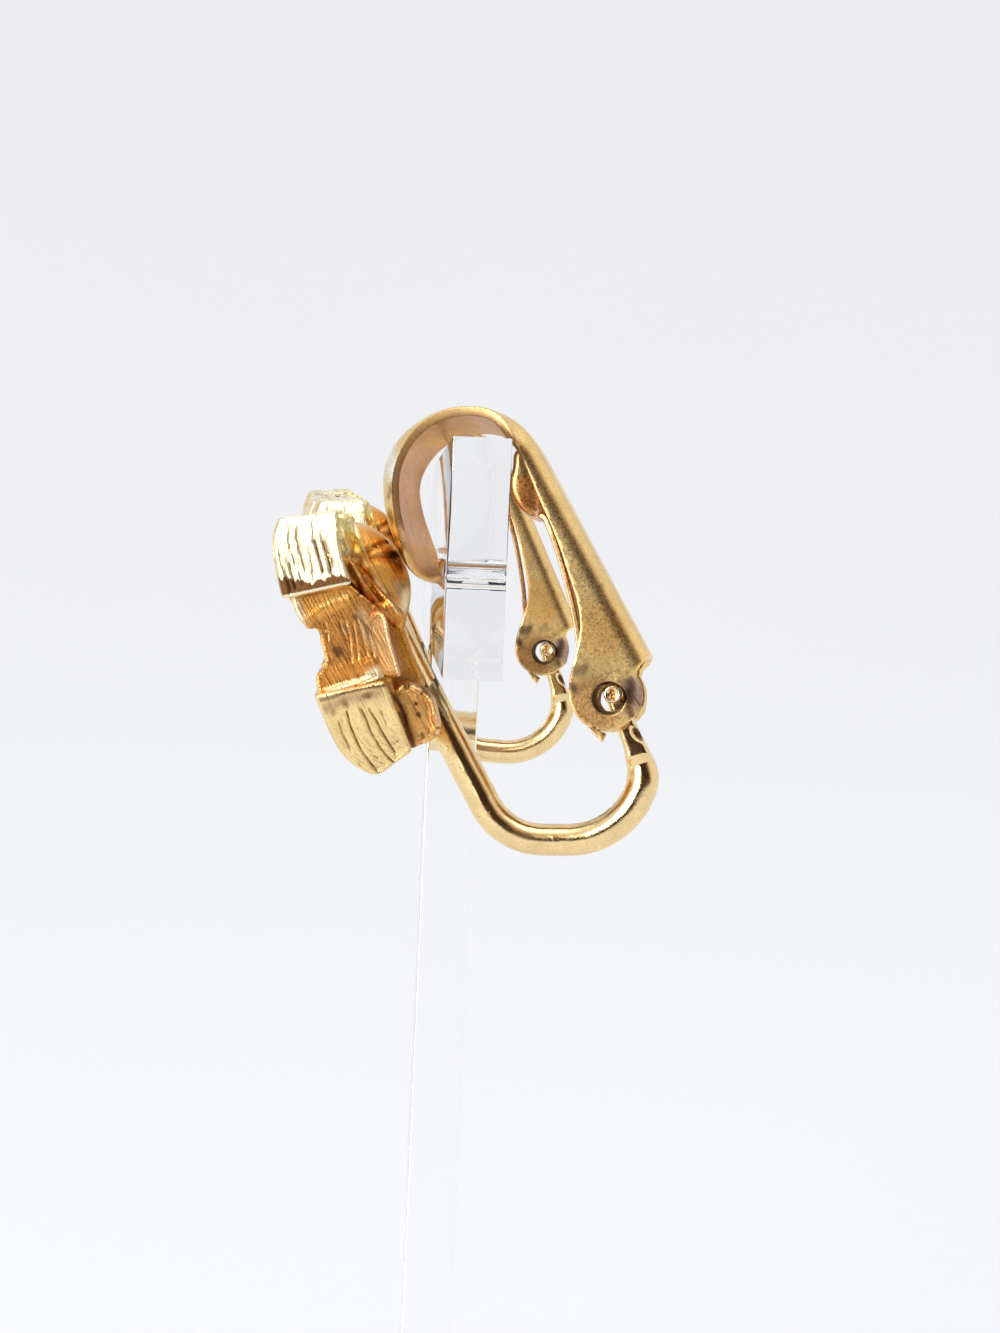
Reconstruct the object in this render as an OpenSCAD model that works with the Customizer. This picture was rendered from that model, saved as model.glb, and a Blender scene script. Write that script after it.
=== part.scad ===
// Pair of hinged clip-on earrings hanging on a clear T-bar display stand, millimetres.
// Frame: +Z up, the bar along Y, the ornaments face -X, origin under the middle of the foot plate.
// Each earring has its own frame: origin and y axis on the hinge peg, z along the bail's straight run.

/* [Stand] */
// Height of the bar's top above the table
stand_h = 80; // [60:1:120]
// Length of the bar
bar_l = 62; // [61:1:90]
// Height of the bar
bar_h = 12.2; // [11:0.1:12.4]
// Thickness of the clear sheet
sheet_t = 3; // [2.5:0.1:3.1]
// Width of the stem
stem_w = 11; // [8:0.5:20]
// Side of the square foot plate
foot_w = 40; // [34:1:60]
// Thickness of the foot plate
foot_t = 4; // [3:0.5:6]
// Diameter of the stud hole near each end of the bar
stud_hole_d = 1.4; // [1:0.1:2]

/* [Earring places] */
// Distance from the stand's middle to the near hinge peg, along the bar
near_y = 28.6; // [26:0.1:28.8]
// How far the near hinge peg stands out from the bar's middle plane
near_x = 7.52; // [7.5:0.01:7.6]
// How far the near hinge peg hangs under the bar's top
near_drop = 12.82; // [12.8:0.01:12.9]
// Backward lean of the near earring
near_lean = 31; // [30:0.1:32]
// Side tip of the near earring
near_tip = 6.5; // [4:0.1:7]
// Turn of the near earring round the upright
near_turn = 7; // [6:0.1:7.2]
// Distance from the stand's middle to the far hinge peg, along the bar
far_y = 14; // [12:0.1:26]
// How far the far hinge peg stands out from the bar's middle plane
far_x = 7; // [6.9:0.01:7.1]
// How far the far hinge peg hangs under the bar's top
far_drop = 12.5; // [12.4:0.01:12.6]
// Backward lean of the far earring
far_lean = 25.5; // [25:0.1:26]
// Side tip of the far earring
far_tip = 3; // [2:0.1:4]
// Turn of the far earring round the upright
far_turn = 2; // [1:0.1:3]

/* [Bail] */
// Diameter of the bail's wire
wire_d = 1.66; // [1.5:0.02:1.7]
// Distance from the hinge peg to the bail's straight run
bail_x = 8.6; // [8.55:0.01:8.65]
// Thickness of the flattened neck, seen from the side
neck_t = 1.05; // [0.9:0.05:1.2]
// Width of the flattened neck across the ears
neck_w = 2.4; // [1.8:0.1:2.8]
// Diameter of the hinge peg
peg_d = 0.92; // [0.8:0.02:0.96]

/* [Lever] */
// Thickness of the stamped sheet
metal_t = 0.48; // [0.4:0.02:0.5]
// Width of the loop and the ear pad
loop_w = 6.4; // [5.6:0.1:7]
// Width over the two ears
ears_w = 4.2; // [4:0.1:4.6]
// Radius of the ears' round ends
ear_r = 1.85; // [1.75:0.01:1.9]
// Diameter of the holes in the ears
ear_hole_d = 1.6; // [1.56:0.02:1.7]
// Distance from the hinge peg to the lever's outer face
web_x = 2.62; // [2.55:0.01:2.7]
// Bend radius of the channel, outside
bend_r = 0.8; // [0.6:0.05:0.9]

/* [Leaf spring] */
// Thickness of the leaf spring
leaf_t = 0.3; // [0.24:0.01:0.32]
// Width of the leaf spring
leaf_w = 2.6; // [2:0.1:2.8]

/* [Ornament] */
// Width of the ornament
ornament_w = 13; // [11:0.1:14]
// How far the middle column of straps stands out past the outer ones
dome_h = 0.25; // [0.1:0.05:0.5]
// Gap between neighbouring straps
strap_gap = 0.16; // [0.1:0.02:0.3]
// Radius of the rounded boss on the back
boss_r = 4.05; // [3.9:0.05:4.1]

/* [Hidden] */
EARRINGS = ["near", "far"];
$fn = 64;
fit = 0.1;
lap = 0.03;
hair = 0.01;
CLEAR = [0.86, 0.9, 0.92, 0.35];
GOLD = [0.83, 0.62, 0.25];
WORN_GOLD = [0.78, 0.57, 0.24];

// A point at distance r and angle a from c, in a side view of x and z
function around(c, r, a) = [c[0] + r * cos(a), c[1] + r * sin(a)];

// Paths of bent wire or strip are tables of [kind, length or bend radius, angle turned]
function heading(path, first, i) = i == 0 ? first : heading(path, first, i - 1) + path[i - 1][2];
function stretch_end(p, h, s) = s[0] == "run"
    ? around(p, s[1], h)
    : around(around(p, s[1], h + 90), s[1], h - 90 + s[2]);
function path_point(path, start, first, i) = i == 0
    ? start
    : stretch_end(path_point(path, start, first, i - 1), heading(path, first, i - 1), path[i - 1]);

// Sweeps two sections, drawn as depth and width, in turn along a path that starts at a point with a heading.
// Each stretch laps a hair into its neighbours and differs a hair from them, so that they make one solid.
module swept(path, start, first) {
    for (i = [0:len(path) - 1]) {
        p = path_point(path, start, first, i);
        h = heading(path, first, i);
        centre = around(p, path[i][1], h + 90);
        lap_angle = lap / path[i][1] * 180 / PI;
        if (path[i][0] == "run")
            translate([p[0], 0, p[1]]) rotate([0, 90 - h, 0]) translate([0, 0, -lap])
                linear_extrude(path[i][1] + 2 * lap) children(i % 2);
        else
            translate([centre[0], 0, centre[1]]) rotate([90, 0, 0]) rotate([0, 0, h - 90 - lap_angle])
                rotate_extrude(angle = path[i][2] + 2 * lap_angle) translate([path[i][1], 0]) children(i % 2);
    }
}

// Extrudes a side view, drawn in x and z, across the earring from y0 to y1
module side_plate(points, y0, y1) {
    translate([0, y1, 0]) rotate([90, 0, 0]) linear_extrude(y1 - y0) polygon(points);
}

// Puts an earring's frame on the bar
module on_bar(which) {
    if (which == "near")
        translate([near_x, -near_y, stand_h - near_drop]) rotate([-near_tip, -near_lean, -near_turn]) children();
    else
        translate([far_x, far_y, stand_h - far_drop]) rotate([-far_tip, -far_lean, -far_turn]) children();
}

// Clear stand: the T is one sheet, and its stem stands in the foot's blind slot

slot_floor = 1;

module stand_t() {
    hole_drop = 7;
    hole_inset = 3.4;
    color(CLEAR) difference() {
        union() {
            translate([-sheet_t / 2, -bar_l / 2, stand_h - bar_h]) cube([sheet_t, bar_l, bar_h]);
            translate([-sheet_t / 2, -stem_w / 2, slot_floor + fit])
                cube([sheet_t, stem_w, stand_h - bar_h - slot_floor]);
        }
        for (side = [-1, 1])
            translate([0, side * (bar_l / 2 - hole_inset), stand_h - hole_drop])
                rotate([0, 90, 0]) cylinder(d = stud_hole_d, h = sheet_t + 2, center = true);
    }
}

module stand_foot() {
    slot = [sheet_t + 2 * fit, stem_w + 2 * fit, foot_t];
    color(CLEAR) difference() {
        translate([-foot_w / 2, -foot_w / 2, 0]) cube([foot_w, foot_w, foot_t]);
        translate([-slot[0] / 2, -slot[1] / 2, slot_floor]) cube(slot);
    }
}

// Front: wire bail with its flattened neck and hinge peg, soldered to the cast ornament

bail_top = 9;
bail_path = [["run", bail_top + 1.8, 0], ["bend", 3.4, 62], ["run", 1.3, 0],
             ["bend", 4, 70], ["bend", 1.8, 36], ["run", 0.95, 0]];

module bail() {
    swept(bail_path, [-bail_x, bail_top], -90) {
        circle(d = wire_d);
        circle(d = wire_d - hair);
    }
}

// The flattened neck tapers up from the wire to a round head on the peg, with a pressed dent each side
module neck() {
    root = path_point(bail_path, [-bail_x, bail_top], -90, len(bail_path));
    half = neck_t / 2;
    dent = [0.05, neck_w / 2 + 0.2, -2.15];
    difference() {
        side_plate([root + [-half + 0.05, -0.15], root + [half - 0.05, -0.3], [half, -0.3], [-half, -0.3]],
                   -neck_w / 2, neck_w / 2);
        for (side = [-1, 1]) translate([dent[0], side * dent[1], dent[2]]) sphere(r = 0.42);
    }
    rotate([90, 0, 0]) cylinder(d = neck_t + 0.02, h = neck_w, center = true);
    rotate([90, 0, 0]) cylinder(d = peg_d, h = ears_w, center = true);
}

// The ornament's own frame sits where the bail's straight run is soldered on, a little askew
solder_z = 6;
solder_turn = [10.8, -0.6, 5.3];

// Side views of the rows of straps and of the cast body behind them
top_row = [[-3.65, 6.85], [-3.6, 7.6], [-3.25, 8.8], [-2.9, 9.7], [-2.1, 10.4], [-0.6, 10.1],
           [0.45, 9.4], [-0.4, 7.2], [-0.7, 6]];
middle_row = [[-4.3, 2.6], [-3.6, 2.9], [-3.4, 3.9], [-3.2, 4.8], [-3.75, 5.1], [-3.75, 6.1], [-3.5, 6.7],
              [-0.7, 5.85], [0.05, 4], [-0.5, 1.9], [-0.7, 0.9], [-2.5, 1], [-4.7, 1.5]];
bottom_row = [[-3.3, 1.65], [-4.8, 1.95], [-5, 0], [-5, -1.1], [-4.8, -2], [-4.3, -2.8],
              [-3.9, -3.1], [-2.5, -3.05], [-1.9, -2.7], [-1.5, 0], [-1.4, 1]];
body = [[-3, -2.2], [-4.1, 0.5], [-3.1, 3], [-3, 6], [-2.6, 9], [-0.9, 9.4], [0, 8.6],
        [-0.9, 6], [-0.6, 4], [-1, 1], [-1.7, -2.2]];
foot_strap = [[-2.2, -2.9], [-1.2, -3], [-0.6, -3], [0, -2.2], [0.15, -1.2], [0, -0.3], [-0.6, 0.15], [-1.6, 0]];
seat = [[-1.6, -0.6], [0.2, -0.8], [0.3, 0.7], [0.65, 2.8], [0.7, 3.4], [0.4, 4.4], [-1.6, 4.4]];

// Rows as [side view, how far the outer straps' ends are set in]
ROWS = [[top_row, 0], [middle_row, 1.1], [bottom_row, 0]];

// Boss centre, and the height at which the boss is cut off flat
boss_at = [-2, 0, 6.1];
boss_cut = 9.3;

module straps() {
    pitch = (ornament_w + strap_gap) / 3;
    half = (pitch - strap_gap) / 2;
    for (row = ROWS, column = [-1:1])
        translate([column == 0 ? -dome_h : 0, 0, 0])
            side_plate(row[0], column * pitch - half + (column < 0 ? row[1] : 0),
                       column * pitch + half - (column > 0 ? row[1] : 0));
}

module boss() {
    intersection() {
        translate(boss_at) sphere(r = boss_r);
        side_plate([[-1, 1.6], [-1, boss_cut], [3, boss_cut], [3, 1.6]], -5, 5);
    }
}

module ornament() {
    foot_strap_y = 3.4;
    straps();
    side_plate(body, -ornament_w / 2 + 1.3, ornament_w / 2 - 1.3);
    for (side = [-1, 1]) side_plate(foot_strap, side * foot_strap_y - 1.4, side * foot_strap_y + 1.4);
    side_plate(seat, -2.6, 2.6);
    boss();
}

module front() {
    color(GOLD) {
        bail();
        neck();
        translate([-bail_x, 0, solder_z]) rotate(solder_turn) ornament();
    }
}

// Lever: stamped channel with two pierced ears, bent over into the loop and the ear pad

web_foot = 0.88;
web_top = 12.9;
taper = atan((loop_w - ears_w) / 2 / web_top);
loop_path = [["bend", 3.85, 152], ["bend", 8, 28], ["bend", 1.6, 36], ["run", 0.4, 0]];
pad_end_z = 9.75;

module loop() {
    round_z = pad_end_z + loop_w / 2;
    intersection() {
        swept(loop_path, [web_x - metal_t / 2, web_top], 90) {
            square([metal_t, loop_w], center = true);
            square([metal_t - hair, loop_w], center = true);
        }
        union() {
            translate([-8, -loop_w / 2, round_z]) cube([12, loop_w, 6]);
            translate([-8, 0, round_z]) rotate([0, 90, 0]) cylinder(d = loop_w, h = 8);
        }
    }
}

// One half of the channel, on the side of -y: a side wall, a rounded bend and its share of the web
module half_channel() {
    outline = [[3, web_foot], [3, web_top + 0.1], [1.7, web_top + 0.1], [1.6, 12.4], [1.38, 10.1], [1.2, 8.1],
               [0.98, 6.8], [0.7, 5.2], [0.2, 3.8], [-0.5, 2.9], [-1.3, 1.9], [-1.5, 1.2], [-1.5, web_foot]];
    outer = -ears_w / 2;
    intersection() {
        rotate([taper, 0, 0]) linear_extrude(web_top + 1) {
            translate([-2, outer]) square([web_x - bend_r + 2, metal_t]);
            translate([web_x - bend_r, outer + bend_r]) intersection() {
                difference() {
                    circle(r = bend_r);
                    circle(r = bend_r - metal_t);
                }
                translate([0, -bend_r]) square(bend_r);
            }
            translate([web_x - metal_t, outer + bend_r]) square([metal_t, loop_w / 2]);
        }
        side_plate(outline, -loop_w, 0.3);
    }
}

// One ear with its hole and the small burr left under it by the punch, on the side of -y
module ear() {
    centre = [-0.31, 0.17];
    hole = [-0.26, 0.05];
    outer = -ears_w / 2;
    difference() {
        union() {
            translate([centre[0], outer + metal_t, centre[1]]) rotate([90, 0, 0]) cylinder(r = ear_r, h = metal_t);
            side_plate([[-2.1, 0.5], [-1.5, 2], [1.7, 1.3], [1.5, 0.4]], outer, outer + metal_t);
            side_plate([[-1.75, -0.9], [-1.75, -1.7], [-1.5, -1.84], [-1.1, -1.4]], outer, outer + metal_t);
        }
        translate([hole[0], 0, hole[1]]) rotate([90, 0, 0]) cylinder(d = ear_hole_d, h = ears_w);
    }
}

module lever() {
    color(WORN_GOLD) {
        loop();
        for (side = [0, 1]) mirror([0, side, 0]) {
            half_channel();
            ear();
        }
    }
}

// Leaf spring: a strip along the channel's mouth, with a bulged upper end tucked against the web

bulge_path = [["bend", 1.64, 142]];
bulge_start = [1.97 + 1.64 * cos(98), 11.31 + 1.64 * sin(98)];
leaf_edge = [[1.0, 9.85], [0.8, 8], [0.42, 6.2], [-0.02, 4.5], [-0.5, 3.1], [-0.82, 1.9], [-0.86, 0.95]];

module spring() {
    color(WORN_GOLD) {
        swept(bulge_path, bulge_start, 188) square([leaf_t, leaf_w], center = true);
        side_plate(concat(leaf_edge, [for (i = [len(leaf_edge) - 1:-1:0]) leaf_edge[i] + [leaf_t, 0]]),
                   -leaf_w / 2, leaf_w / 2);
    }
}

stand_t();
stand_foot();
for (which = EARRINGS) {
    on_bar(which) front();
    on_bar(which) lever();
    on_bar(which) spring();
}
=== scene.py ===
import math

import bmesh
import bpy
import numpy as np
from mathutils import Matrix, Vector, noise
from mathutils.geometry import delaunay_2d_cdt
from mathutils.kdtree import KDTree


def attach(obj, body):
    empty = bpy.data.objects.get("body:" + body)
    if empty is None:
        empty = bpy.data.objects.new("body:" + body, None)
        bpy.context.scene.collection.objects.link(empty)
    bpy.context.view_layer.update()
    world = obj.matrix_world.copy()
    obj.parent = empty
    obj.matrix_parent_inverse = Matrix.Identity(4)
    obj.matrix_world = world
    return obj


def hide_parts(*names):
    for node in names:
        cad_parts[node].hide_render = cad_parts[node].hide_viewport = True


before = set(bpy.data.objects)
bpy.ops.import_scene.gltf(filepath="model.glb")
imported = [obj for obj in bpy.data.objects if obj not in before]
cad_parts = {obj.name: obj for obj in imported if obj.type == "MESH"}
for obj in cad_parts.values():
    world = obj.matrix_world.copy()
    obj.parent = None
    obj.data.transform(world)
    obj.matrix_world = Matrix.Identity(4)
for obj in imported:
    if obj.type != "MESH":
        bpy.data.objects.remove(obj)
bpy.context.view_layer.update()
scene = bpy.context.scene
print("frame loaded")

mm = 0.001

# where each earring hangs: hinge peg in mm on the stand, and how it leans (degrees)
places = {
    "near": {"peg": (7.52, -28.6, 67.18), "turns": (-6.5, -31, -7)},
    "far": {"peg": (7.0, 14.0, 67.5), "turns": (-3, -25.5, -2)},
}


def turned(turns):
    tip, lean, turn = (math.radians(a) for a in turns)
    return Matrix.Rotation(turn, 4, "Z") @ Matrix.Rotation(lean, 4, "Y") @ Matrix.Rotation(tip, 4, "X")


def earringMatrix(which):
    spot = places[which]
    return Matrix.Scale(mm, 4) @ Matrix.Translation(spot["peg"]) @ turned(spot["turns"])


# the kinds of values that a mesh keeps for each point
layerKinds = {"FLOAT": ("value", 1), "FLOAT_VECTOR": ("vector", 3), "FLOAT_COLOR": ("color", 4)}


def storeValues(mesh, key, kind, values):
    field, size = layerKinds[kind]
    values = np.asarray(values, dtype=np.float32)
    if size == 4:
        values = np.column_stack([values, np.ones(len(values), dtype=np.float32)])
    layer = mesh.attributes.get(key) or mesh.attributes.new(key, kind, "POINT")
    layer.data.foreach_set(field, values.ravel())


def readValues(mesh, key, kind="FLOAT"):
    field, size = layerKinds[kind]
    out = np.zeros(len(mesh.vertices) * size, dtype=np.float32)
    mesh.attributes[key].data.foreach_get(field, out)
    return out.astype(float) if size == 1 else out.reshape(-1, size)[:, :3].astype(float)


def makeMesh(name, points, faces, edges=(), **layers):
    mesh = bpy.data.meshes.new(name)
    mesh.from_pydata([tuple(p) for p in points], list(edges), faces)
    for key, values in layers.items():
        storeValues(mesh, key, "FLOAT" if np.ndim(values) == 1 else "FLOAT_VECTOR", values)
    mesh.update()
    return mesh


def meshPoints(mesh):
    out = np.empty(len(mesh.vertices) * 3, dtype=np.float32)
    mesh.vertices.foreach_get("co", out)
    return out.reshape(-1, 3).astype(float)


def linked(name, data):
    made = bpy.data.objects.new(name, data)
    scene.collection.objects.link(made)
    return made


# the plain mesh that a worker object comes out as
def bakedMesh(worker):
    result = bpy.data.meshes.new_from_object(worker.evaluated_get(bpy.context.evaluated_depsgraph_get()))
    if worker.type == "MESH":
        worker.modifiers.clear()
    bpy.data.objects.remove(worker)
    return result


# parts are (points, faces, {name: values}); all in one list of points
def joined(parts):
    points, faces, extra, start = [], [], {}, 0
    for somePoints, someFaces, values in parts:
        points.append(np.asarray(somePoints, dtype=float))
        faces += [tuple(i + start for i in face) for face in someFaces]
        for key, value in values.items():
            extra.setdefault(key, []).append(np.asarray(value, dtype=float))
        start += len(somePoints)
    return np.vstack(points), faces, {k: np.concatenate(v) for k, v in extra.items()}


# faces between two rings of points, each given by the number of its first point
def ringFaces(first, second, count, flip=False):
    faces = []
    for k in range(count):
        a, b, c, d = first + k, first + (k + 1) % count, second + (k + 1) % count, second + k
        faces.append((d, c, b, a) if flip else (a, b, c, d))
    return faces


# faces between a ring and the point at its hub
def fanFaces(first, hub, count, flip=False):
    faces = []
    for k in range(count):
        a, b = first + k, first + (k + 1) % count
        faces.append((hub, b, a) if flip else (a, b, hub))
    return faces


def polar(radius, degrees):
    a = math.radians(degrees)
    return radius * math.cos(a), radius * math.sin(a)


def arc(centre, radius, degrees):
    return [(centre[0] + x, centre[1] + z) for x, z in (polar(radius, a) for a in degrees)]


def circle(cx, cy, radius, count):
    turns = [2 * math.pi * k / count for k in range(count)]
    return [(cx + radius * math.cos(a), cy + radius * math.sin(a)) for a in turns]


# distance of each point along a line, from its start
def distances(line):
    return np.concatenate([[0], np.cumsum(np.linalg.norm(np.diff(line, axis=0), axis=1))])


# places a copy of a mesh made in mm on its body, instead of its CAD node
def finishPiece(name, mesh, matrix, body, node, material, sharp):
    mesh = mesh.copy()
    mesh.name = name
    mesh.transform(matrix)
    mesh.shade_smooth()
    mesh.set_sharp_from_angle(angle=math.radians(sharp))
    mesh.materials.clear()
    mesh.materials.append(material)
    piece = linked(name, mesh)
    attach(piece, body)
    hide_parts(node)


def feed(tree, socket, value):
    if isinstance(value, bpy.types.NodeSocket):
        tree.links.new(value, socket)
    else:
        socket.default_value = value


def addNode(tree, kind, inputs=None, **settings):
    made = tree.nodes.new(kind)
    for key, value in settings.items():
        setattr(made, key, value)
    for key, value in (inputs or {}).items():
        feed(tree, made.inputs[key], value)
    return made


def sums(tree, operation, *values, clamp=False):
    return addNode(tree, "ShaderNodeMath", dict(enumerate(values)), operation=operation, use_clamp=clamp).outputs[0]


def vectors(tree, operation, *values, scale=None):
    made = addNode(tree, "ShaderNodeVectorMath", dict(enumerate(values)), operation=operation)
    if scale is not None:
        feed(tree, made.inputs["Scale"], scale)
    return made.outputs[1 if operation in ("LENGTH", "DOT_PRODUCT") else 0]


def noiseNode(tree, spot, scale=1.0, detail=2.0, **more):
    return addNode(tree, "ShaderNodeTexNoise", {"Vector": spot, "Scale": scale, "Detail": detail, **more})


def mapped(tree, value, low, high, start=0.0, end=1.0, **settings):
    inputs = {"Value": value, "From Min": low, "From Max": high, "To Min": start, "To Max": end}
    return addNode(tree, "ShaderNodeMapRange", inputs, **settings).outputs[0]


def toned(tree, value, first, last):
    made = addNode(tree, "ShaderNodeValToRGB", {"Fac": value})
    for stop, colour in zip(made.color_ramp.elements, (first, last)):
        stop.color = (*colour, 1)
    return made.outputs[0]


# the colour sockets of the mix node come after its float and vector ones
def mixedColour(tree, share, a, b):
    return addNode(tree, "ShaderNodeMix", {0: share, 6: a, 7: b}, data_type="RGBA").outputs[2]


def newShapeTree(name, inputs):
    tree = bpy.data.node_groups.new(name, "GeometryNodeTree")
    for way in ("INPUT", "OUTPUT"):
        tree.interface.new_socket("Geometry", in_out=way, socket_type="NodeSocketGeometry")
    for label, kind, value in inputs + [("Material", "Material", None)]:
        socket = tree.interface.new_socket(label, in_out="INPUT", socket_type="NodeSocket" + kind)
        if value is not None:
            socket.default_value = value
    return tree, tree.nodes.new("NodeGroupInput").outputs


# pushes the surface out along its normals, gives it the material and ends the tree
def endShapeTree(tree, given, geometry, height):
    normal = addNode(tree, "GeometryNodeInputNormal").outputs[0]
    pushed = addNode(tree, "GeometryNodeSetPosition", {
        "Geometry": geometry, "Offset": vectors(tree, "SCALE", normal, scale=height)})
    real = addNode(tree, "GeometryNodeRealizeInstances", {"Geometry": pushed.outputs[0]})
    coated = addNode(tree, "GeometryNodeSetMaterial", {"Geometry": real.outputs[0], "Material": given["Material"]})
    tree.links.new(coated.outputs[0], tree.nodes.new("NodeGroupOutput").inputs[0])
    return tree


def named(tree, key, kind="FLOAT"):
    return addNode(tree, "GeometryNodeInputNamedAttribute", {"Name": key}, data_type=kind).outputs["Attribute"]


# runs a mesh through a node tree and gives the plain mesh back
def shapedBy(tree, mesh, values):
    worker = linked("worker", mesh)
    modifier = worker.modifiers.new("shape", "NODES")
    modifier.node_group = tree
    for item in tree.interface.items_tree:
        if item.in_out == "INPUT" and item.name in values:
            modifier[item.identifier] = values[item.name]
    return bakedMesh(worker)


# points along a path of [kind, length or radius, angle], each as (x, z, heading in degrees)
def pathStations(path, start, heading, step):
    x, z = start
    out = [(x, z, heading)]
    for kind, size, angle in path:
        if kind == "run":
            count = max(1, round(size / step))
            spots = [polar(size * i / count, heading) for i in range(1, count + 1)]
            out += [(x + dx, z + dz, heading) for dx, dz in spots]
        else:
            side = math.copysign(90, angle)
            dx, dz = polar(size, heading + side)
            count = max(2, round(size * math.radians(abs(angle)) / step))
            turns = [angle * i / count for i in range(1, count + 1)]
            spots = arc((x + dx, z + dz), size, [heading - side + turn for turn in turns])
            out += [(sx, sz, heading + turn) for (sx, sz), turn in zip(spots, turns)]
            heading += angle
        x, z = out[-1][:2]
    return out


stepsPerGap = 12


# a smooth run of count points through the given ones
def evenly(points, count):
    p = np.asarray(points, dtype=float)
    if len(p) > 2:
        full = np.vstack([2 * p[0] - p[1], p, 2 * p[-1] - p[-2]])
        fine = []
        for a, b, c, d in zip(full, full[1:], full[2:], full[3:]):
            for t in np.linspace(0, 1, stepsPerGap, endpoint=False):
                fine.append(0.5 * (2 * b + (c - a) * t + (2 * a - 5 * b + 4 * c - d) * t * t
                                   + (3 * b - a - 3 * c + d) * t ** 3))
        p = np.vstack(fine + [full[-2]])
    length = distances(p)
    wanted = np.linspace(0, length[-1], count)
    return np.column_stack([np.interp(wanted, length, p[:, k]) for k in range(p.shape[1])])


# tree that sweeps a wire or a strip along a path drawn in the xy plane
def buildSweepTree():
    tree, given = newShapeTree("sweptMetal", [
        ("Sides", "Int", 48), ("Station Spacing", "Float", 0.1), ("Wobble", "Float", 0.02),
        ("Wobble Size", "Float", 1.5), ("Seed", "Float", 3.0)])
    curve = addNode(tree, "GeometryNodeMeshToCurve", {"Mesh": given["Geometry"]})
    even = addNode(tree, "GeometryNodeResampleCurve", {
        "Curve": curve.outputs[0], "Length": given["Station Spacing"]}, mode="LENGTH")
    upright = addNode(tree, "GeometryNodeSetCurveNormal", {"Curve": even.outputs[0]}, mode="Z_UP")
    spot = addNode(tree, "GeometryNodeInputPosition").outputs[0]
    kept = addNode(tree, "GeometryNodeStoreNamedAttribute", {
        "Geometry": upright.outputs[0], "Name": "centre", "Value": spot}, data_type="FLOAT_VECTOR")
    ring = addNode(tree, "GeometryNodeCurvePrimitiveCircle", {"Resolution": given["Sides"], "Radius": 1.0})
    swept = addNode(tree, "GeometryNodeCurveToMesh", {
        "Curve": kept.outputs[0], "Profile Curve": ring.outputs[0], "Fill Caps": True})
    centre = named(tree, "centre", "FLOAT_VECTOR")
    offset = vectors(tree, "SUBTRACT", spot, centre)
    height = addNode(tree, "ShaderNodeSeparateXYZ", {"Vector": offset}).outputs["Z"]
    flat = vectors(tree, "MULTIPLY", offset, (1, 1, 0))
    # the section is round at power 2 and square-cornered above it
    power = named(tree, "square")
    grown = sums(tree, "ADD", sums(tree, "POWER", vectors(tree, "LENGTH", flat), power),
                 sums(tree, "POWER", sums(tree, "ABSOLUTE", height), power))
    reach = sums(tree, "POWER", grown, sums(tree, "DIVIDE", -1.0, power))
    thick = vectors(tree, "SCALE", flat, scale=sums(tree, "MULTIPLY", named(tree, "thick"), reach))
    wide = sums(tree, "MULTIPLY", sums(tree, "MULTIPLY", height, named(tree, "wide")), reach)
    lifted = addNode(tree, "ShaderNodeCombineXYZ", {"Z": wide}).outputs[0]
    shaped = vectors(tree, "ADD", vectors(tree, "ADD", thick, lifted), centre)
    placed = addNode(tree, "GeometryNodeSetPosition", {"Geometry": swept.outputs[0], "Position": shaped})
    shift = addNode(tree, "ShaderNodeCombineXYZ", {"X": given["Seed"]}).outputs[0]
    rough = noiseNode(tree, vectors(tree, "ADD", spot, shift), sums(tree, "DIVIDE", 1.0, given["Wobble Size"]))
    push = sums(tree, "MULTIPLY", sums(tree, "SUBTRACT", rough.outputs[0], 0.5), given["Wobble"])
    return endShapeTree(tree, given, placed.outputs[0], push)


sweepTree = buildSweepTree()
uprightSide = Matrix.Rotation(math.radians(90), 4, "X")  # a path drawn in xy stands up in xz


# stations are side-view points (x, z); the half sizes and the squareness go with them
def sweptMesh(name, stations, thick, wide, square, values):
    edges = [(i, i + 1) for i in range(len(stations) - 1)]
    mesh = makeMesh(name, [(x, z, 0) for x, z in stations], [], edges, thick=thick, wide=wide, square=square)
    result = shapedBy(sweepTree, mesh, values)
    result.transform(uprightSide)
    return result


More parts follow.
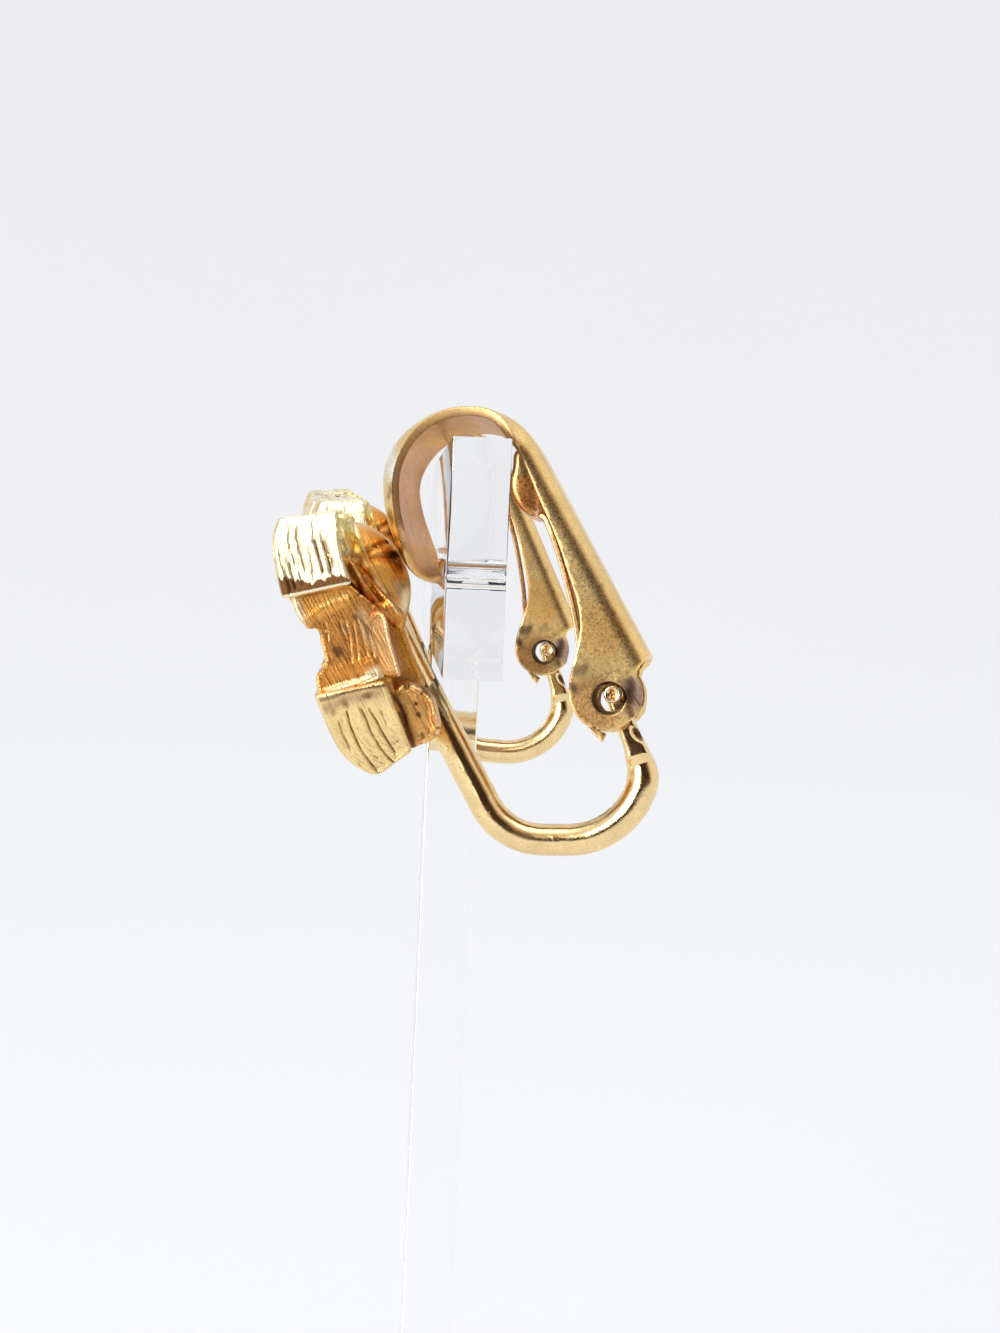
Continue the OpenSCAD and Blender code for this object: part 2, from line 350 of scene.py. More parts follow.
# tree that cuts bark grooves and fibres into a surface, along its own fibre direction
def buildBarkTree():
    tree, given = newShapeTree("barkSurface", [
        ("Groove Depth", "Float", 0.12), ("Groove Spacing", "Float", 0.55), ("Groove Length", "Float", 5.0),
        ("Groove Width", "Float", 0.14), ("Fibre Depth", "Float", 0.03), ("Seed", "Float", 1.0)])
    fibre, amount = named(tree, "fibre", "FLOAT_VECTOR"), named(tree, "barky")

    def fibreNoise(spot, stretch, detail):
        return noiseNode(tree, vectors(tree, "MULTIPLY", spot, stretch), 1.0, detail).outputs

    bend = fibreNoise(fibre, (0.35, 0.5, 1.0), 2.0)["Color"]
    wander = vectors(tree, "MULTIPLY", vectors(tree, "SUBTRACT", bend, (0.5, 0.5, 0.5)), (0.5, 0, 0))
    moved = vectors(tree, "ADD", fibre, wander)
    seedShift = addNode(tree, "ShaderNodeCombineXYZ", {"Z": given["Seed"]}).outputs[0]
    stretch = addNode(tree, "ShaderNodeCombineXYZ", {
        "X": sums(tree, "DIVIDE", 1.0, given["Groove Spacing"]),
        "Y": sums(tree, "DIVIDE", 1.0, given["Groove Length"]), "Z": 1.0}).outputs[0]
    cellSpot = vectors(tree, "ADD", vectors(tree, "MULTIPLY", moved, stretch), seedShift)
    offLine = sums(tree, "ABSOLUTE", sums(tree, "SUBTRACT", noiseNode(tree, cellSpot, 1.0, 1.0).outputs[0], 0.5))
    edge = mapped(tree, offLine, 0.0, given["Groove Width"], 1.0, 0.0, interpolation_type="SMOOTHSTEP")
    patchy = fibreNoise(fibre, (0.9, 0.45, 1.0), 1.0)[0]
    present = mapped(tree, patchy, 0.38, 0.6, interpolation_type="SMOOTHSTEP")
    groove = sums(tree, "MULTIPLY", sums(tree, "MULTIPLY", edge, present), amount)
    groove = sums(tree, "MAXIMUM", groove, named(tree, "cut"))
    fine = fibreNoise(moved, (5.0, 0.8, 1.0), 3.0)[0]
    ripple = sums(tree, "MULTIPLY", sums(tree, "SUBTRACT", fine, 0.5),
                  sums(tree, "MULTIPLY", given["Fibre Depth"], amount))
    depth = sums(tree, "SUBTRACT", ripple, sums(tree, "MULTIPLY", groove, given["Groove Depth"]))
    kept = addNode(tree, "GeometryNodeStoreNamedAttribute", {
        "Geometry": given["Geometry"], "Name": "groove", "Value": groove}, data_type="FLOAT")
    return endShapeTree(tree, given, kept.outputs[0], depth)


barkTree = buildBarkTree()
print("shape trees built")


def newMaterial(name):
    made = bpy.data.materials.new(name)
    made.use_nodes = True
    made.node_tree.nodes.clear()
    return made, made.node_tree


def endMaterial(tree, inputs):
    shader = addNode(tree, "ShaderNodeBsdfPrincipled", inputs)
    tree.links.new(shader.outputs[0], tree.nodes.new("ShaderNodeOutputMaterial").inputs["Surface"])


def painted(tree, key, output):
    return addNode(tree, "ShaderNodeAttribute", attribute_name=key).outputs[output]


# plated metal: its tint is painted on the piece, with stains in the grooves, other stains and painted shade, wear,
# specks and bump
def metalMaterial(name, look):
    made, tree = newMaterial(name)
    spot, tint, grimeAndShade = painted(tree, "spot", "Vector"), painted(tree, "tint", "Color"), painted(tree, "grimeAndShade", "Fac")
    cloud = noiseNode(tree, spot, look["cloud"], 4.0, Roughness=0.6).outputs[0]
    fine = noiseNode(tree, spot, look["grain"], 5.0, Roughness=0.7).outputs[0]
    specks = addNode(tree, "ShaderNodeTexVoronoi", {"Vector": spot, "Scale": look["specks"]}).outputs["Distance"]
    speck = mapped(tree, specks, look["speckSize"] * 0.5, look["speckSize"], 1.0, 0.0)
    speckMask = sums(tree, "MULTIPLY", speck, mapped(tree, cloud, 0.5, 0.62))
    varied = mapped(tree, cloud, 0.3, 0.7, 1 - look["vary"], 1 + look["vary"] * 0.4)
    mottled = mapped(tree, fine, 0.35, 0.65, 1 - look["mottle"], 1.05)
    base = vectors(tree, "SCALE", tint, scale=sums(tree, "MULTIPLY", varied, mottled))
    bump = addNode(tree, "ShaderNodeBump", {
        "Height": fine, "Strength": look["bump"], "Distance": look["bumpSize"] * mm}).outputs[0]
    if look["streaks"]:
        along = vectors(tree, "MULTIPLY", painted(tree, "fibre", "Vector"), (9.0, 0.7, 1.0))
        streak = noiseNode(tree, along, 1.0, 4.0).outputs[0]
        bump = addNode(tree, "ShaderNodeBump", {
            "Height": streak, "Strength": 0.8, "Distance": 0.08 * mm, "Normal": bump}).outputs[0]
        dark = mapped(tree, streak, 0.52, 0.7, 0.0, look["streaks"])
        grimeAndShade = sums(tree, "ADD", grimeAndShade, sums(tree, "MULTIPLY", dark, painted(tree, "barky", "Fac")))
    uneven = sums(tree, "MULTIPLY", sums(tree, "SUBTRACT", fine, 0.5), look["patchy"])
    dirtAndShade = mapped(tree, sums(tree, "ADD", grimeAndShade, uneven), 0.25, 0.75)
    stainAndShade = sums(tree, "MAXIMUM", dirtAndShade, sums(tree, "MULTIPLY", speckMask, look["speckStrength"]), clamp=True)
    worn = sums(tree, "ADD", mapped(tree, fine, 0.3, 0.7, *look["rough"]), painted(tree, "dull", "Fac"))
    endMaterial(tree, {
        "Base Color": mixedColour(tree, stainAndShade, base, look["stainAndShadeColour"]), "Metallic": 1.0,
        "Roughness": sums(tree, "MULTIPLY_ADD", stainAndShade, look["stainAndShadeRough"], worn, clamp=True), "Normal": bump})
    return made


castGold = metalMaterial("castGoldPlate", {
    "cloud": 0.9, "grain": 7.0, "vary": 0.12, "mottle": 0.13, "streaks": 0.5, "patchy": 0.55,
    "specks": 5.0, "speckSize": 0.2, "speckStrength": 0.5, "stainAndShadeColour": (0.16, 0.075, 0.028, 1), "stainAndShadeRough": 0.25,
    "rough": (0.24, 0.4), "bump": 0.35, "bumpSize": 0.04})
wireGold = metalMaterial("wireGoldPlate", {
    "cloud": 0.8, "grain": 9.0, "vary": 0.14, "mottle": 0.1, "streaks": 0.0, "patchy": 0.5,
    "specks": 4.5, "speckSize": 0.22, "speckStrength": 0.8, "stainAndShadeColour": (0.13, 0.06, 0.025, 1), "stainAndShadeRough": 0.3,
    "rough": (0.07, 0.16), "bump": 0.25, "bumpSize": 0.03})
sheetGold = metalMaterial("sheetGoldPlate", {
    "cloud": 0.6, "grain": 8.0, "vary": 0.18, "mottle": 0.2, "streaks": 0.0, "patchy": 0.5,
    "specks": 4.0, "speckSize": 0.2, "speckStrength": 0.45, "stainAndShadeColour": (0.1, 0.06, 0.035, 1), "stainAndShadeRough": 0.2,
    "rough": (0.23, 0.36), "bump": 0.15, "bumpSize": 0.03})


def smooth(value, low, high):
    t = np.clip((np.asarray(value, dtype=float) - low) / (high - low), 0, 1)
    return t * t * (3 - 2 * t)


def blend(base, colour, share):
    share = np.asarray(share)[:, None]
    return base * (1 - share) + np.asarray(colour) * share


# how far each point lies from a patch's centre, with 1 at its edge
def patchReach(points, centre, radius):
    return np.linalg.norm((points - np.asarray(centre)) / np.asarray(radius), axis=1)


# paints soft round patches (centre, radius, colour, strength) over a base colour
def blobs(points, spots, base):
    colours = np.tile(np.asarray(base, dtype=float), (len(points), 1)) if np.ndim(base) == 1 else base
    for centre, radius, colour, strength in spots:
        colours = blend(colours, colour, strength * (1 - smooth(patchReach(points, centre, radius), 0.55, 1.0)))
    return colours


# grime and painted shade in ragged patches (centre, radius, strength)
def patches(points, spots, grimeAndShade):
    for centre, radius, strength in spots:
        distance = patchReach(points, centre, radius)
        near = distance < 1.5
        distance[near] += [0.5 * noise.noise(Vector(q * 2.3)) + 0.25 * noise.noise(Vector(q * 6.0))
                           for q in points[near]]
        grimeAndShade = np.maximum(grimeAndShade, strength * (1 - smooth(distance, 0.25, 1.05)))
    return grimeAndShade


# how close each point of the side view lies to a drawn line: 1 on it, fading within its width
def nearLine(points, line, width):
    spots = points[:, [0, 2]]
    best = np.full(len(spots), 9.0)
    for a, b in zip(np.array(line), np.array(line[1:])):
        t = np.clip(((spots - a) @ (b - a)) / ((b - a) @ (b - a)), 0, 1)
        best = np.minimum(best, np.linalg.norm(spots - a - t[:, None] * (b - a), axis=1))
    return np.exp(-(best / width) ** 2)


# paints lines (path on the side view, width, colour, strength) where a surface faces sideways
def strokes(points, lines, colours, outer):
    for line, width, colour, strength in lines:
        colours = blend(colours, colour, strength * nearLine(points, line, width) * outer)
    return colours


# raises or sinks the outer sides along drawn lines (path, width, height)
def relief(points, lines, sideFrom):
    side = np.sign(points[:, 1]) * smooth(np.abs(points[:, 1]), sideFrom, sideFrom + 0.1)
    for line, width, height in lines:
        points[:, 1] += side * height * nearLine(points, line, width)


def sideways(mesh, low=0.35, high=0.6):
    return smooth([abs(v.normal.y) for v in mesh.vertices], low, high)


def paintMetal(mesh, tint, spots=(), stainsAndShade=(), grimeAndShade=0.0, lines=(), sideFrom=4.0, facing=(0.35, 0.6)):
    p = meshPoints(mesh)
    outer = sideways(mesh, *facing) * (np.abs(p[:, 1]) > sideFrom)
    storeValues(mesh, "spot", "FLOAT_VECTOR", p)
    storeValues(mesh, "tint", "FLOAT_COLOR", strokes(p, lines, blobs(p, spots, tint), outer))
    storeValues(mesh, "grimeAndShade", "FLOAT", patches(p, stainsAndShade, np.zeros(len(p)) + grimeAndShade))


# bail: bent wire, flattened to a neck that hangs on the hinge peg
bail = {
    "wire": 1.66,
    "start": (-8.6, 9.0),
    "path": [["run", 10.8, 0], ["bend", 3.4, 62], ["run", 1.3, 0], ["bend", 4.0, 70], ["bend", 1.8, 36],
             ["run", 0.95, 0]],
    "neck": [(0.0, -0.3), (0.0, 0.0), (0.0, 0.525)],
    "neckFrom": (0.45, -1.2),
    "neckStations": 26,
    "neckThick": 1.05,
    "neckWide": 2.1,
    "thinned": (-5.2, -2.7),
    "pressed": (-4.2, -3.85),
    "pinched": (-4.9, -4.25),
    "pinch": 0.06,
    "upperEnd": (0.4, 0.02),
    "dent": (0.1, 1.2, -2.35),
    "dentSlope": (0.92, 0.38),
    "dentSize": (0.27, 0.55),
    "dentReach": 0.5,
    "dentDeep": 0.24,
    "tint": (0.93, 0.70, 0.36),
    # painted shade in the pressed dent on the neck's near side
    "stainsAndShade": [((0.1, -1.0, -2.35), (0.34, 0.6, 0.6), 0.9)],
}


# how much of its half size a rounded end keeps, for points this far from the end
def endRound(away, radius, least):
    return np.sqrt(np.clip(1 - ((radius - away) / radius).clip(0, 1) ** 2, least, 1))


def buildBail():
    stations = [(x, z) for x, z, _ in pathStations(bail["path"], bail["start"], -90, 0.2)]
    root, (inward, low) = stations[-1], bail["neckFrom"]
    neck = evenly([root, (root[0] * inward, low)] + bail["neck"], bail["neckStations"])
    stations += [tuple(p) for p in neck[1:]]
    far = distances(np.array(stations))
    left = far[-1] - far
    # filed down slowly, pressed at once
    thinned, pressed, pinched = (smooth(-left, *bail[key]) for key in ("thinned", "pressed", "pinched"))
    half = bail["wire"] / 2
    thick = half + (bail["neckThick"] / 2 - half) * thinned
    wide = half + (bail["neckWide"] / 2 - half) * pressed - bail["pinch"] * pinched * (1 - pressed)
    thick = thick * endRound(left, bail["neckThick"] / 2, 0.01)
    upper = endRound(far, *bail["upperEnd"])
    mesh = sweptMesh("bail", stations, thick * upper, wide * upper, 2 + 4 * pressed, {
        "Sides": 56, "Station Spacing": 0.09, "Wobble": 0.05, "Wobble Size": 1.2, "Seed": 4.0, "Material": wireGold})
    p = meshPoints(mesh)
    # pressed dents on both sides of the neck, along its slope
    (x, y, z), (c, s), (across, along) = bail["dent"], bail["dentSlope"], bail["dentSize"]
    for side in (-1, 1):
        away = (p - (x, side * y, z)) @ np.array([[c, 0, s], [0, 1, 0], [-s, 0, c]]).T
        distance = np.hypot(away[:, 0] / across, away[:, 2] / along)
        near = np.abs(away[:, 1]) < bail["dentReach"]
        p[near, 1] -= side * bail["dentDeep"] * (1 - smooth(distance[near], 0.45, 1.0))
    mesh.vertices.foreach_set("co", p.astype(np.float32).ravel())
    mesh.update()
    return mesh


# hinge peg: its ends as (radius, distance from the middle), with a slit across each
peg = {
    "ends": [(0.02, 2.02), (0.08, 2.02), (0.14, 2.02), (0.2, 2.03), (0.26, 2.06), (0.32, 2.1), (0.38, 2.1),
             (0.43, 2.07), (0.46, 2.02), (0.46, 1.8), (0.46, 1.2), (0.46, 0.6), (0.46, 0)],
    "sides": 48,
    "slitTurn": math.radians(20),
    "slitLong": 0.24,
    "slitWide": 0.12,
    "slitDeep": 0.3,
    "tint": (0.90, 0.66, 0.38),
    # the dark line is painted shade in the slit across the peg's end
    "marks": [([(-0.06, -0.2), (0.06, 0.2)], 0.09, (0.2, 0.08, 0.03), 0.9)],
}


def buildPeg():
    sides = peg["sides"]
    profile = peg["ends"] + [(r, -h) for r, h in peg["ends"][-2::-1]]
    points, faces = [], []
    for radius, height in profile:
        for k in range(sides):
            a = 2 * math.pi * k / sides
            x, y, z = radius * math.cos(a), -height, radius * math.sin(a)
            along = x * math.sin(peg["slitTurn"]) + z * math.cos(peg["slitTurn"])
            across = x * math.cos(peg["slitTurn"]) - z * math.sin(peg["slitTurn"])
            if abs(height) > 1.9 and radius < 0.3 and abs(along) < peg["slitLong"]:
                slit = max(0.0, 1 - abs(across + 0.02) / peg["slitWide"])
                y += math.copysign(peg["slitDeep"] * slit, height)
            points.append((x, y, z))
    for i in range(len(profile) - 1):
        faces += ringFaces(i * sides, (i + 1) * sides, sides)
    points += [(0, -2.0, 0), (0, 2.0, 0)]
    faces += fanFaces(0, len(points) - 2, sides, True) + fanFaces((len(profile) - 1) * sides, len(points) - 1, sides)
    return makeMesh("peg", points, faces)


bailMesh = buildBail()
paintMetal(bailMesh, bail["tint"], stainsAndShade=bail["stainsAndShade"])
pegMesh = buildPeg()
paintMetal(pegMesh, peg["tint"], lines=peg["marks"], sideFrom=1.9)
print("bail built:", len(bailMesh.polygons), "faces")

# lever: one stamped sheet, drawn flat with its holes, then folded into a channel and bent over
lever = {
    "sheet": 0.48,
    "webMid": 2.38,
    "webTop": 12.9,
    "earsWide": 4.2,
    "loopWide": 6.4,
    "bendMid": 0.8,
    "loop": [["bend", 3.85, 152], ["bend", 8.0, 28], ["bend", 1.7, 52], ["run", 0.9, 0]],
    "padEnd": 9.95,
    "padRound": 1.9,
    "shapeAt": [12.5, 15.0, 17.0, 19.5, 21.5, 24.0, 28.0],
    "edgeShift": [0.0, -0.1, -0.17, -0.2, -0.25, -0.2, -0.1],
    "dish": [0.0, 0.1, 0.2, 0.45, 0.8, 0.75, 0.45],
    "opened": (12.2, 16.0),
    "twist": 0.48,
    "twisted": (21.5, 26.0),
    "twistSide": (-3.2, 0.5),
    "crease": ((0.69, 0.43), (2.06, 0.9)),
    "pinch": 0.3,
    "pinched": (0.3, 0.9),
    "earCentre": (-0.31, 0.17),
    "earRadius": 1.85,
    "burr": [(-1.2, -1.62), (-1.60, -1.93), (-1.76, -1.4), (-1.82, -1.0)],
    "earEdge": [(-2.08, 0.75), (-1.88, 1.2), (-1.62, 1.62), (-1.3, 2.0), (-0.9, 2.45), (-0.5, 2.9), (-0.12, 3.35),
                (0.2, 3.8), (0.5, 4.5), (0.7, 5.2), (0.85, 6.0), (0.98, 6.8), (1.12, 7.5), (1.2, 8.1), (1.32, 9.1),
                (1.38, 10.1), (1.46, 10.9), (1.53, 11.7), (1.6, 12.4)],
    "webFoot": 0.88,
    "widened": (12.4, 16.5),
    "hole": (-0.25, -0.1),
    "holeRadius": 0.8,
    "cell": 0.16,
    "cellAcross": 0.17,
    "rounding": 0.07,
    "tint": (0.95, 0.66, 0.28),
    "innerTint": (0.97, 0.58, 0.33),
    "innerSpots": [((-1.0, 0, 17.2), (3.2, 5, 1.6), (0.93, 0.50, 0.14), 0.9),
                   ((-5.0, 0, 10.6), (2.0, 5, 1.8), (0.93, 0.46, 0.13), 0.9)],
    "innerShare": 0.9,
    "innerDull": 0.2,
    "loopMiddle": (-1.4, 12.5),
    "padBefore": -2.5,
    # painted shadow line along the loop's inner rim: its colour, strength and reach
    "rimShadeTint": (0.36, 0.18, 0.05),
    "rimShadeShare": 0.75,
    "rimShadeFrom": (2.75, 3.1),
    # painted shade in a ring round each punched hole
    "holeShadeRing": (0.82, 0.93),
    "earRim": (1.55, 1.75),
    "marks": [([(-5.32, 14.19), (-4.79, 14.73)], 0.09, (0.2, 0.1, 0.03), 0.9),
              ([(-4.2, 16.2), (-4.6, 15.1)], 0.4, (1.0, 0.97, 0.84), 1.0),
              ([(-5.72, 13.5), (-5.7, 13.0)], 0.16, (0.3, 0.14, 0.04), 0.8),
              # the yellow line is a painted highlight along the crease above the ear
              ([(0.65, 0.41), (1.39, 0.56), (2.0, 0.62)], 0.1, (1.0, 0.75, 0.2), 0.8),
              ([(2.08, 5.14), (2.08, 5.0)], 0.09, (0.2, 0.1, 0.05), 0.8),
              ([(1.97, 3.57), (1.95, 3.5)], 0.08, (0.2, 0.1, 0.05), 0.8)],
    "tintSpots": [((-1.0, -2.0, 0.0), (1.9, 0.8, 1.9), (0.60, 0.345, 0.135), 0.95),
                  ((1.6, -2.2, 8.0), (1.0, 1.0, 6.0), (0.88, 0.64, 0.30), 0.6),
                  ((1.0, -2.2, 3.2), (1.4, 1.0, 2.0), (0.92, 0.54, 0.17), 0.7),
                  ((1.0, -2.1, -0.6), (0.75, 0.8, 1.5), (0.42, 0.27, 0.24), 0.85)],
    "stainsAndShade": [((-0.9, -2.1, 1.9), (1.3, 0.6, 1.1), 0.66), ((0.3, -2.1, 1.5), (1.3, 0.6, 0.55), 0.5),
               ((0.95, -2.1, -0.6), (0.8, 0.5, 1.4), 0.75), ((-1.6, -2.1, 1.3), (0.6, 0.5, 0.8), 0.7),
               ((0.3, -2.1, -1.2), (0.8, 0.5, 0.6), 0.5), ((-1.0, 3.0, 15.0), (0.8, 0.8, 0.8), 0.5),
               ((-5.1, -3.0, 12.6), (0.5, 0.5, 1.1), 0.55), ((-4.6, -3.0, 10.9), (0.4, 0.5, 0.6), 0.5),
               ((-2.6, -3.0, 16.6), (1.6, 0.8, 0.35), 0.3)],
}


# half width of the web's flat part, at a height up the sheet
def flatHalf(t):
    narrow, wide = lever["earsWide"] / 2, lever["loopWide"] / 2
    outer = narrow + (wide - narrow) * min(max(t, 0.9), lever["webTop"]) / lever["webTop"]
    return outer - lever["sheet"] / 2 - lever["bendMid"]


# where the flat sheet's point (s across, t along) comes to lie, in x, y, z
def leverSpot(s, t, track, lengths):
    if t <= lever["webTop"]:
        px, pz, heading = lever["webMid"], t, 90.0
    else:
        d = min(t - lever["webTop"], lengths[-1])
        i = min(int(np.searchsorted(lengths, d, side="right")) - 1, len(track) - 2)
        f = (d - lengths[i]) / max(lengths[i + 1] - lengths[i], 1e-9)
        px, pz, heading = (a + (b - a) * f for a, b in zip(track[i], track[i + 1]))
    fold = math.pi / 2 * (1 - float(smooth(t, *lever["opened"])))
    r, flat = lever["bendMid"], flatHalf(t)
    over = abs(s) - flat
    if over <= 0:
        y, n = abs(s), 0.0
    elif over < r * fold:
        y, n = flat + r * math.sin(over / r), -r * (1 - math.cos(over / r))
    else:
        rest = over - r * fold
        y = flat + r * math.sin(fold) + rest * math.cos(fold)
        n = -r * (1 - math.cos(fold)) - rest * math.sin(fold)
    shift, dish = (float(np.interp(t, lever["shapeAt"], lever[key])) for key in ("edgeShift", "dish"))
    n += shift + dish * (1 - (y / (lever["loopWide"] / 2)) ** 4)
    outward = math.radians(heading - 90)
    x, z = px + n * math.cos(outward), pz + n * math.sin(outward)
    # the pad is bent in towards the bar, less at its near side
    x += lever["twist"] * float(smooth(t, *lever["twisted"]) * smooth(math.copysign(y, s), *lever["twistSide"]))
    # the ears are pinched in below a crease that runs up to the channel's foot
    if t < 1.2 and over > 0:
        (ax, az), (bx, bz) = lever["crease"]
        below = ((x - ax) * (bz - az) - (z - az) * (bx - ax)) / math.hypot(bz - az, bx - ax)
        y -= lever["pinch"] * max(0.0, below) * float(smooth(x, *lever["pinched"]))
    return x, math.copysign(y, s) if s else y, z


# half of the flat sheet's outline as (s, t), from the web's foot round the ear and up to the pad
def leverOutline(burr):
    def across(x, z=0):
        return -(flatHalf(z) + lever["bendMid"] * math.pi / 2 + (lever["webMid"] - lever["bendMid"] - x))

    def ear(start, stop):
        spots = arc(lever["earCentre"], lever["earRadius"], np.arange(start, stop, -5.0))
        return [(across(x), z) for x, z in spots]

    low = lever["webFoot"]
    foot = flatHalf(low)
    half = [(-(foot + 0.35), low), (-(foot + 0.7), 0.74), (across(1.75, 0.7), 0.62)] + ear(6, -132)
    if burr:
        half += [(across(x), z) for x, z in lever["burr"]]
    return half + ear(-145, -190) + [(across(x, z), z) for x, z in lever["earEdge"]]


# the whole outline of the flat sheet with close points, and its two holes
def flatLever(padEnd):
    near, other = leverOutline(True), leverOutline(False)
    half, startWide = lever["loopWide"] / 2, near[-1][0]
    upper = []
    for t in np.arange(lever["webTop"], padEnd - lever["padRound"], 0.3):
        share = float(smooth(t, *lever["widened"]))
        upper.append((startWide * (1 - share) - half * share, t))
    for degrees in np.arange(180, 90, -6.0):
        a = math.radians(degrees)
        upper.append((half * math.cos(a), padEnd - lever["padRound"] * (1 - math.sin(a))))
    outline = near + upper + [(0.0, padEnd)] + [(-s, t) for s, t in (other + upper)[::-1]]
    dense = []
    for a, b in zip(outline, outline[1:] + outline[:1]):
        count = max(1, int(math.dist(a, b) / lever["cell"]))
        dense += [(a[0] + (b[0] - a[0]) * k / count, a[1] + (b[1] - a[1]) * k / count) for k in range(count)]
    reach = flatHalf(0) + lever["bendMid"] * math.pi / 2 + lever["webMid"] - lever["bendMid"] - lever["hole"][0]
    holes = [circle(side * reach, lever["hole"][1], lever["holeRadius"], 56) for side in (-1, 1)]
    return dense, holes, reach


def inside(p, loop):
    hit = False
    for (x1, y1), (x2, y2) in zip(loop, loop[-1:] + loop[:-1]):
        if (y1 > p[1]) != (y2 > p[1]) and p[0] < (x2 - x1) * (p[1] - y1) / (y2 - y1) + x1:
            hit = not hit
    return hit


def buildLever():
    track = pathStations(lever["loop"], (lever["webMid"], lever["webTop"]), 90, 0.12)
    line = np.array(track)[:, :2]
    lengths = distances(line)
    # length along the sheet at which the pad's end comes to the wanted height
    padEnd = lever["webTop"] + next(d for d, (_, z) in zip(lengths, line) if d > 12 and z <= lever["padEnd"])
    outline, holes, reach = flatLever(padEnd)
    flatPoints, edges = [], []
    for loop in [outline] + holes:
        first = len(flatPoints)
        flatPoints += loop
        edges += [(first + k, first + (k + 1) % len(loop)) for k in range(len(loop))]
    tree = KDTree(len(flatPoints))
    for i, (s, t) in enumerate(flatPoints):
        tree.insert((s, t, 0), i)
    tree.balance()
    widest = max(abs(s) for s, _ in outline)
    t = -1.7
    while t < padEnd:
        flat = flatHalf(t)
        bend = np.linspace(flat, flat + lever["bendMid"] * math.pi / 2, 9)
        middle = np.linspace(0, flat, max(3, int(flat / 0.19)), endpoint=False)
        rest = np.arange(bend[-1] + lever["cellAcross"], widest, lever["cellAcross"])
        row = np.concatenate([middle, bend, rest])
        for s in np.concatenate([-row[:0:-1], row]):
            if tree.find((s, t, 0))[2] > 0.1:
                flatPoints.append((float(s), t))
        t += lever["cell"]
    spots, _, faces, _, _, _ = delaunay_2d_cdt([Vector(p) for p in flatPoints], edges, [], 1, 1e-5)
    kept = []
    for face in faces:
        c = (sum(spots[i][0] for i in face) / 3, sum(spots[i][1] for i in face) / 3)
        fromHole = math.dist((abs(c[0]), c[1]), (reach, lever["hole"][1]))
        if fromHole < lever["holeRadius"] * 0.999 and any(inside(c, hole) for hole in holes):
            continue
        if inside(c, outline):
            kept.append(face)
    used = sorted({i for face in kept for i in face})
    order = {old: new for new, old in enumerate(used)}
    points = [leverSpot(*spots[i], track, lengths) for i in used]
    mesh = makeMesh("lever", points, [tuple(order[i] for i in face) for face in kept],
                    fibre=[(*spots[i], 0) for i in used])
    worker = linked("worker", mesh)
    shell = worker.modifiers.new("sheet", "SOLIDIFY")
    shell.thickness, shell.offset, shell.use_even_offset = lever["sheet"], 0, False
    rounding = worker.modifiers.new("edges", "BEVEL")
    rounding.width, rounding.segments, rounding.limit_method = lever["rounding"], 2, "ANGLE"
    rounding.angle_limit, rounding.use_clamp_overlap = math.radians(55), False
    return bakedMesh(worker)


# punched holes' walls as (radius, shift in x, depth), on the near and the far ear
eyelet = {
    "near": [(0.83, 0.0, 0.0), (0.79, 0.01, -0.05), (0.74, 0.05, 0.1), (0.69, 0.09, 0.26), (0.71, 0.08, 0.4),
             (0.83, 0.0, 0.4)],
    "far": [(0.83, 0.0, 0.0), (0.79, 0.01, -0.05), (0.81, 0.05, 0.1), (0.76, 0.03, 0.26), (0.78, 0.08, 0.4),
            (0.83, 0.0, 0.4)],
    "sides": 64,
    # dark tint and grime painted as shade inside the holes
    "tint": (0.20, 0.09, 0.05),
    "grimeAndShade": 0.55,
}


# the walls of the two punched holes, burred, thicker towards the ornament, and dark as painted shade
def buildEyelets():
    sides, parts = eyelet["sides"], []
    cx, cz = lever["hole"]
    for side, rings in ((-1, eyelet["near"]), (1, eyelet["far"])):
        y = side * (lever["earsWide"] / 2 - 0.03)
        points, faces = [], []
        for i, (radius, shift, depth) in enumerate(rings):
            for k in range(sides):
                a = 2 * math.pi * k / sides
                uneven = radius * (1 + 0.02 * math.sin(3 * a + 1) + 0.015 * math.sin(7 * a))
                points.append((cx + shift + uneven * math.cos(a), y - side * depth, cz + uneven * math.sin(a)))
            faces += ringFaces(i * sides, (i + 1) % len(rings) * sides, sides, side > 0)
        parts.append((points, faces, {}))
    points, faces, _ = joined(parts)
    return makeMesh("eyelets", points, faces)


